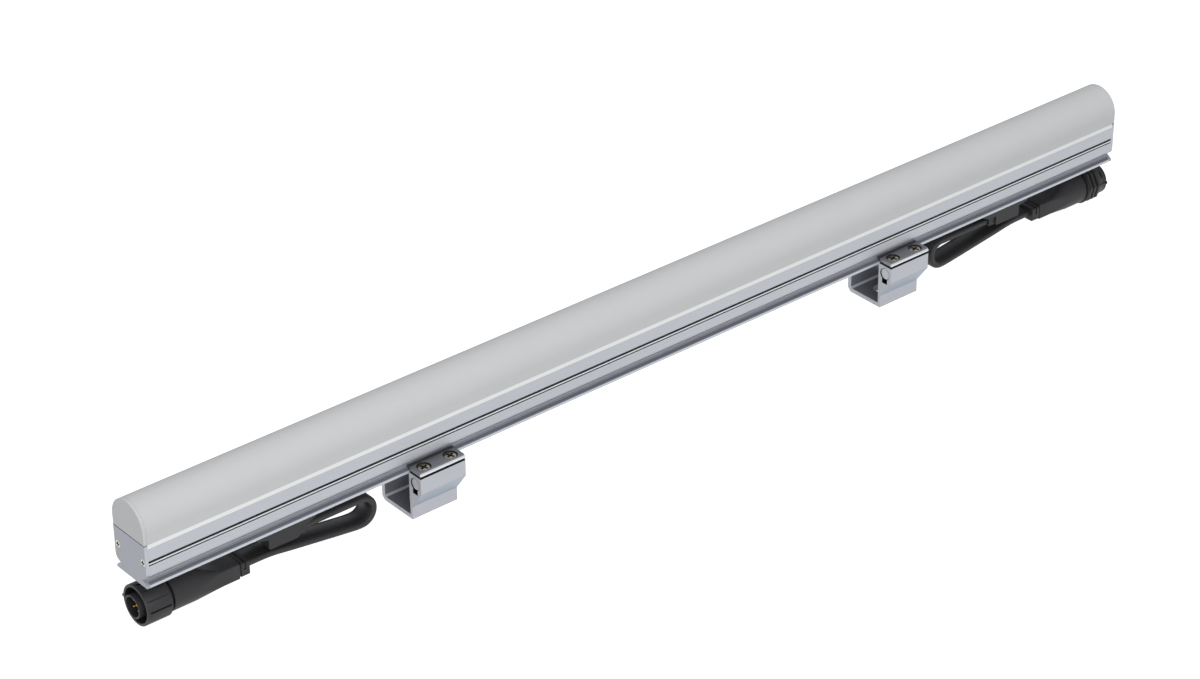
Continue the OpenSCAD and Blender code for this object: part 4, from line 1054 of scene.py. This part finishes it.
# %% Right connector
# Distance along X and radius, in millimetres: end of the barrel, rim, core of the ribs, cone and sleeve
RIGHT_STEPS = [
    (474, 14.65), (474.5, 14.2), (474.5, 12.85), (474.9, 12.85), (475, 15.4), (475.4, 16), (476.8, 16),
    (477.2, 15.4), (477.3, 13.7), (489.5, 13.7), (489.5, 15.2), (489.8, 15.45), (495, 14.1), (495.4, 14),
    (499.8, 14), (500.2, 13.6), (500.2, 10.2), (499.8, 9.8), (488.2, 9.8),
]
SLIT_TURN = math.radians(52)

right_body = skin("right_connector_shaped", boot_rings() + round_rings(RIGHT_STEPS))
slits = copies("slits", box_cutter("slit", (493.8, 495.2), (-3, 3), (12.6, 18)), 4, FINISHES["black_plastic"],
               first_turn=SLIT_TURN, turn_step=QUARTER_TURN)
key_line = box_cutter("key_line", (491, 498.5), (-0.5, 0.5), (13.4, 18), 84.5)
cut(right_body, *collar_cutters("right_collar"), slits, key_line)
finish_as(at_connector(smooth_shade(right_body), 1), "right_connector_body", material=SOCKET_FINISH)
nub = rounded(box_cutter("right_sleeve_nub", (499, 500.1), (-1.2, 1.2), (13, 14.9), 88), 0.25 * MM)
finish_as(at_connector(nub, 1), "right_connector_body", material=SOCKET_FINISH)

# %% [markdown]
# The ribs are eight-sided plates, turned so that the eye sees a corner at the front. They repeat along
# the axis, so the same tree as for the screws sets them in a row.

# %% Ribs
RIB_RADIUS, RIB_LENGTH, RIB_ROUNDING = 16.8 * MM, 2.4 * MM, 0.25 * MM
RIB_START, RIB_PITCH, RIB_COUNT = 477.7 * MM, 4.7 * MM, 3
RIB_TURN = 37
rib_angles = [math.radians(RIB_TURN + 45 * k) for k in range(8)]
rib_outline = [(-RIB_RADIUS * math.sin(angle), RIB_RADIUS * math.cos(angle)) for angle in rib_angles]
rib = rounded(slab("rib", rib_outline, 0, RIB_LENGTH), RIB_ROUNDING)
ribs = copies("right_grip_ribs", rib, RIB_COUNT, FINISHES["black_plastic"], (RIB_START, AXIS_Y, AXIS_Z),
              (RIB_PITCH, 0, 0))
finish_as(smooth_shade(ribs), "right_connector_body")
print(RIB_COUNT, "ribs on the right connector")

# %% [markdown]
# The LEDs stand in one even row on their board, right under the diffuser. Each is a low square
# body with a small raised lens.

# %% LEDs
LED_COUNT = 48
LED_HALF, LED_HEIGHT = 2.5 * MM, 0.9 * MM
# Shares of the half size and of the height, from the board up
LED_STEPS = ((1, 0), (1, 0.7), (0.92, 0.78), (0.6, 0.78), (0.5, 1))


def led_template():
    points = []
    for width_share, height_share in LED_STEPS:
        size, z = LED_HALF * width_share, LED_HEIGHT * height_share
        points += [(size, size, z), (-size, size, z), (-size, -size, z), (size, -size, z)]
    faces = [(4 * i + k, 4 * i + (k + 1) % 4, 4 * i + 4 + (k + 1) % 4, 4 * i + 4 + k)
             for i in range(len(LED_STEPS) - 1) for k in range(4)]
    faces += [(0, 1, 2, 3), tuple(range(len(points) - 4, len(points)))]
    return outward(mesh_object("led", points, faces))


low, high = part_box("led_chips")
led_pitch = (high.x - low.x - 2 * LED_HALF) / (LED_COUNT - 1)
first_led = (low.x + LED_HALF, CENTRE_Y, low.z)
leds = copies("led_row", led_template(), LED_COUNT, FINISHES["led"], first_led, (led_pitch, 0, 0))
finish_as(leds, "led_chips")
print(LED_COUNT, "LEDs at a pitch of", round(led_pitch / MM, 2), "mm")

# %% [markdown]
# The light is a plain studio: a pale world and three large soft lamps. The floor shows white to
# the camera and to reflections, and still darkens where the object keeps the light from it.

# %% Floor and lamps
FLOOR_REACH = 12
FLOOR_DROP = 0.5 * MM
FLOOR_SHADE = 0.52
FLOOR_GLOW = 0.9
WORLD_COLOUR = (0.93, 0.95, 1, 1)
WORLD_STRENGTH = 0.5
LAMP_TARGET = Vector((0, 0, 0.05))
# Place, width and power of each lamp
LAMPS = {
    "key_lamp": ((-1.0, -2.8, 1.3), 2.8, 54),
    "top_lamp": ((0.3, 0.6, 3.0), 2.6, 17),
    "left_lamp": ((-3.0, 0.2, 1.2), 1.8, 14.5),
}


def make_floor():
    corners = [(x * FLOOR_REACH, y * FLOOR_REACH, 0) for x, y in ((-1, -1), (1, -1), (1, 1), (-1, 1))]
    floor = mesh_object("studio_floor", corners, [(0, 1, 2, 3)])
    floor.location.z = -FLOOR_DROP
    material = bpy.data.materials.new("studio floor")
    material.use_nodes = True
    tree = material.node_tree
    shader = tree.nodes["Principled BSDF"]
    shader.inputs["Roughness"].default_value = 0.9
    shader.inputs["Specular IOR Level"].default_value = 0
    shader.inputs["Base Color"].default_value = (FLOOR_SHADE, FLOOR_SHADE, FLOOR_SHADE, 1)
    shader.inputs["Emission Color"].default_value = (1, 1, 1, 1)
    path = node(tree, "ShaderNodeLightPath")
    seen = maths(tree, "MAXIMUM", path.outputs["Is Camera Ray"], path.outputs["Is Glossy Ray"])
    tree.links.new(maths(tree, "MULTIPLY", seen, FLOOR_GLOW), shader.inputs["Emission Strength"])
    floor.data.materials.append(material)


def make_lamp(name, place, size, power):
    lamp = bpy.data.objects.new(name, bpy.data.lights.new(name, "AREA"))
    bpy.context.scene.collection.objects.link(lamp)
    lamp.data.shape = "DISK"
    lamp.data.size = size
    lamp.data.energy = power
    lamp.location = place
    lamp.rotation_euler = (LAMP_TARGET - Vector(place)).to_track_quat("-Z", "Y").to_euler()


def make_world():
    world = bpy.data.worlds.new("studio")
    bpy.context.scene.world = world
    world.use_nodes = True
    back = world.node_tree.nodes["Background"]
    back.inputs["Color"].default_value = WORLD_COLOUR
    back.inputs["Strength"].default_value = WORLD_STRENGTH


make_floor()
make_world()
for lamp_name, settings in LAMPS.items():
    make_lamp(lamp_name, *settings)
print("lamps:", ", ".join(LAMPS))
bpy.context.scene.view_settings.view_transform = "Standard"
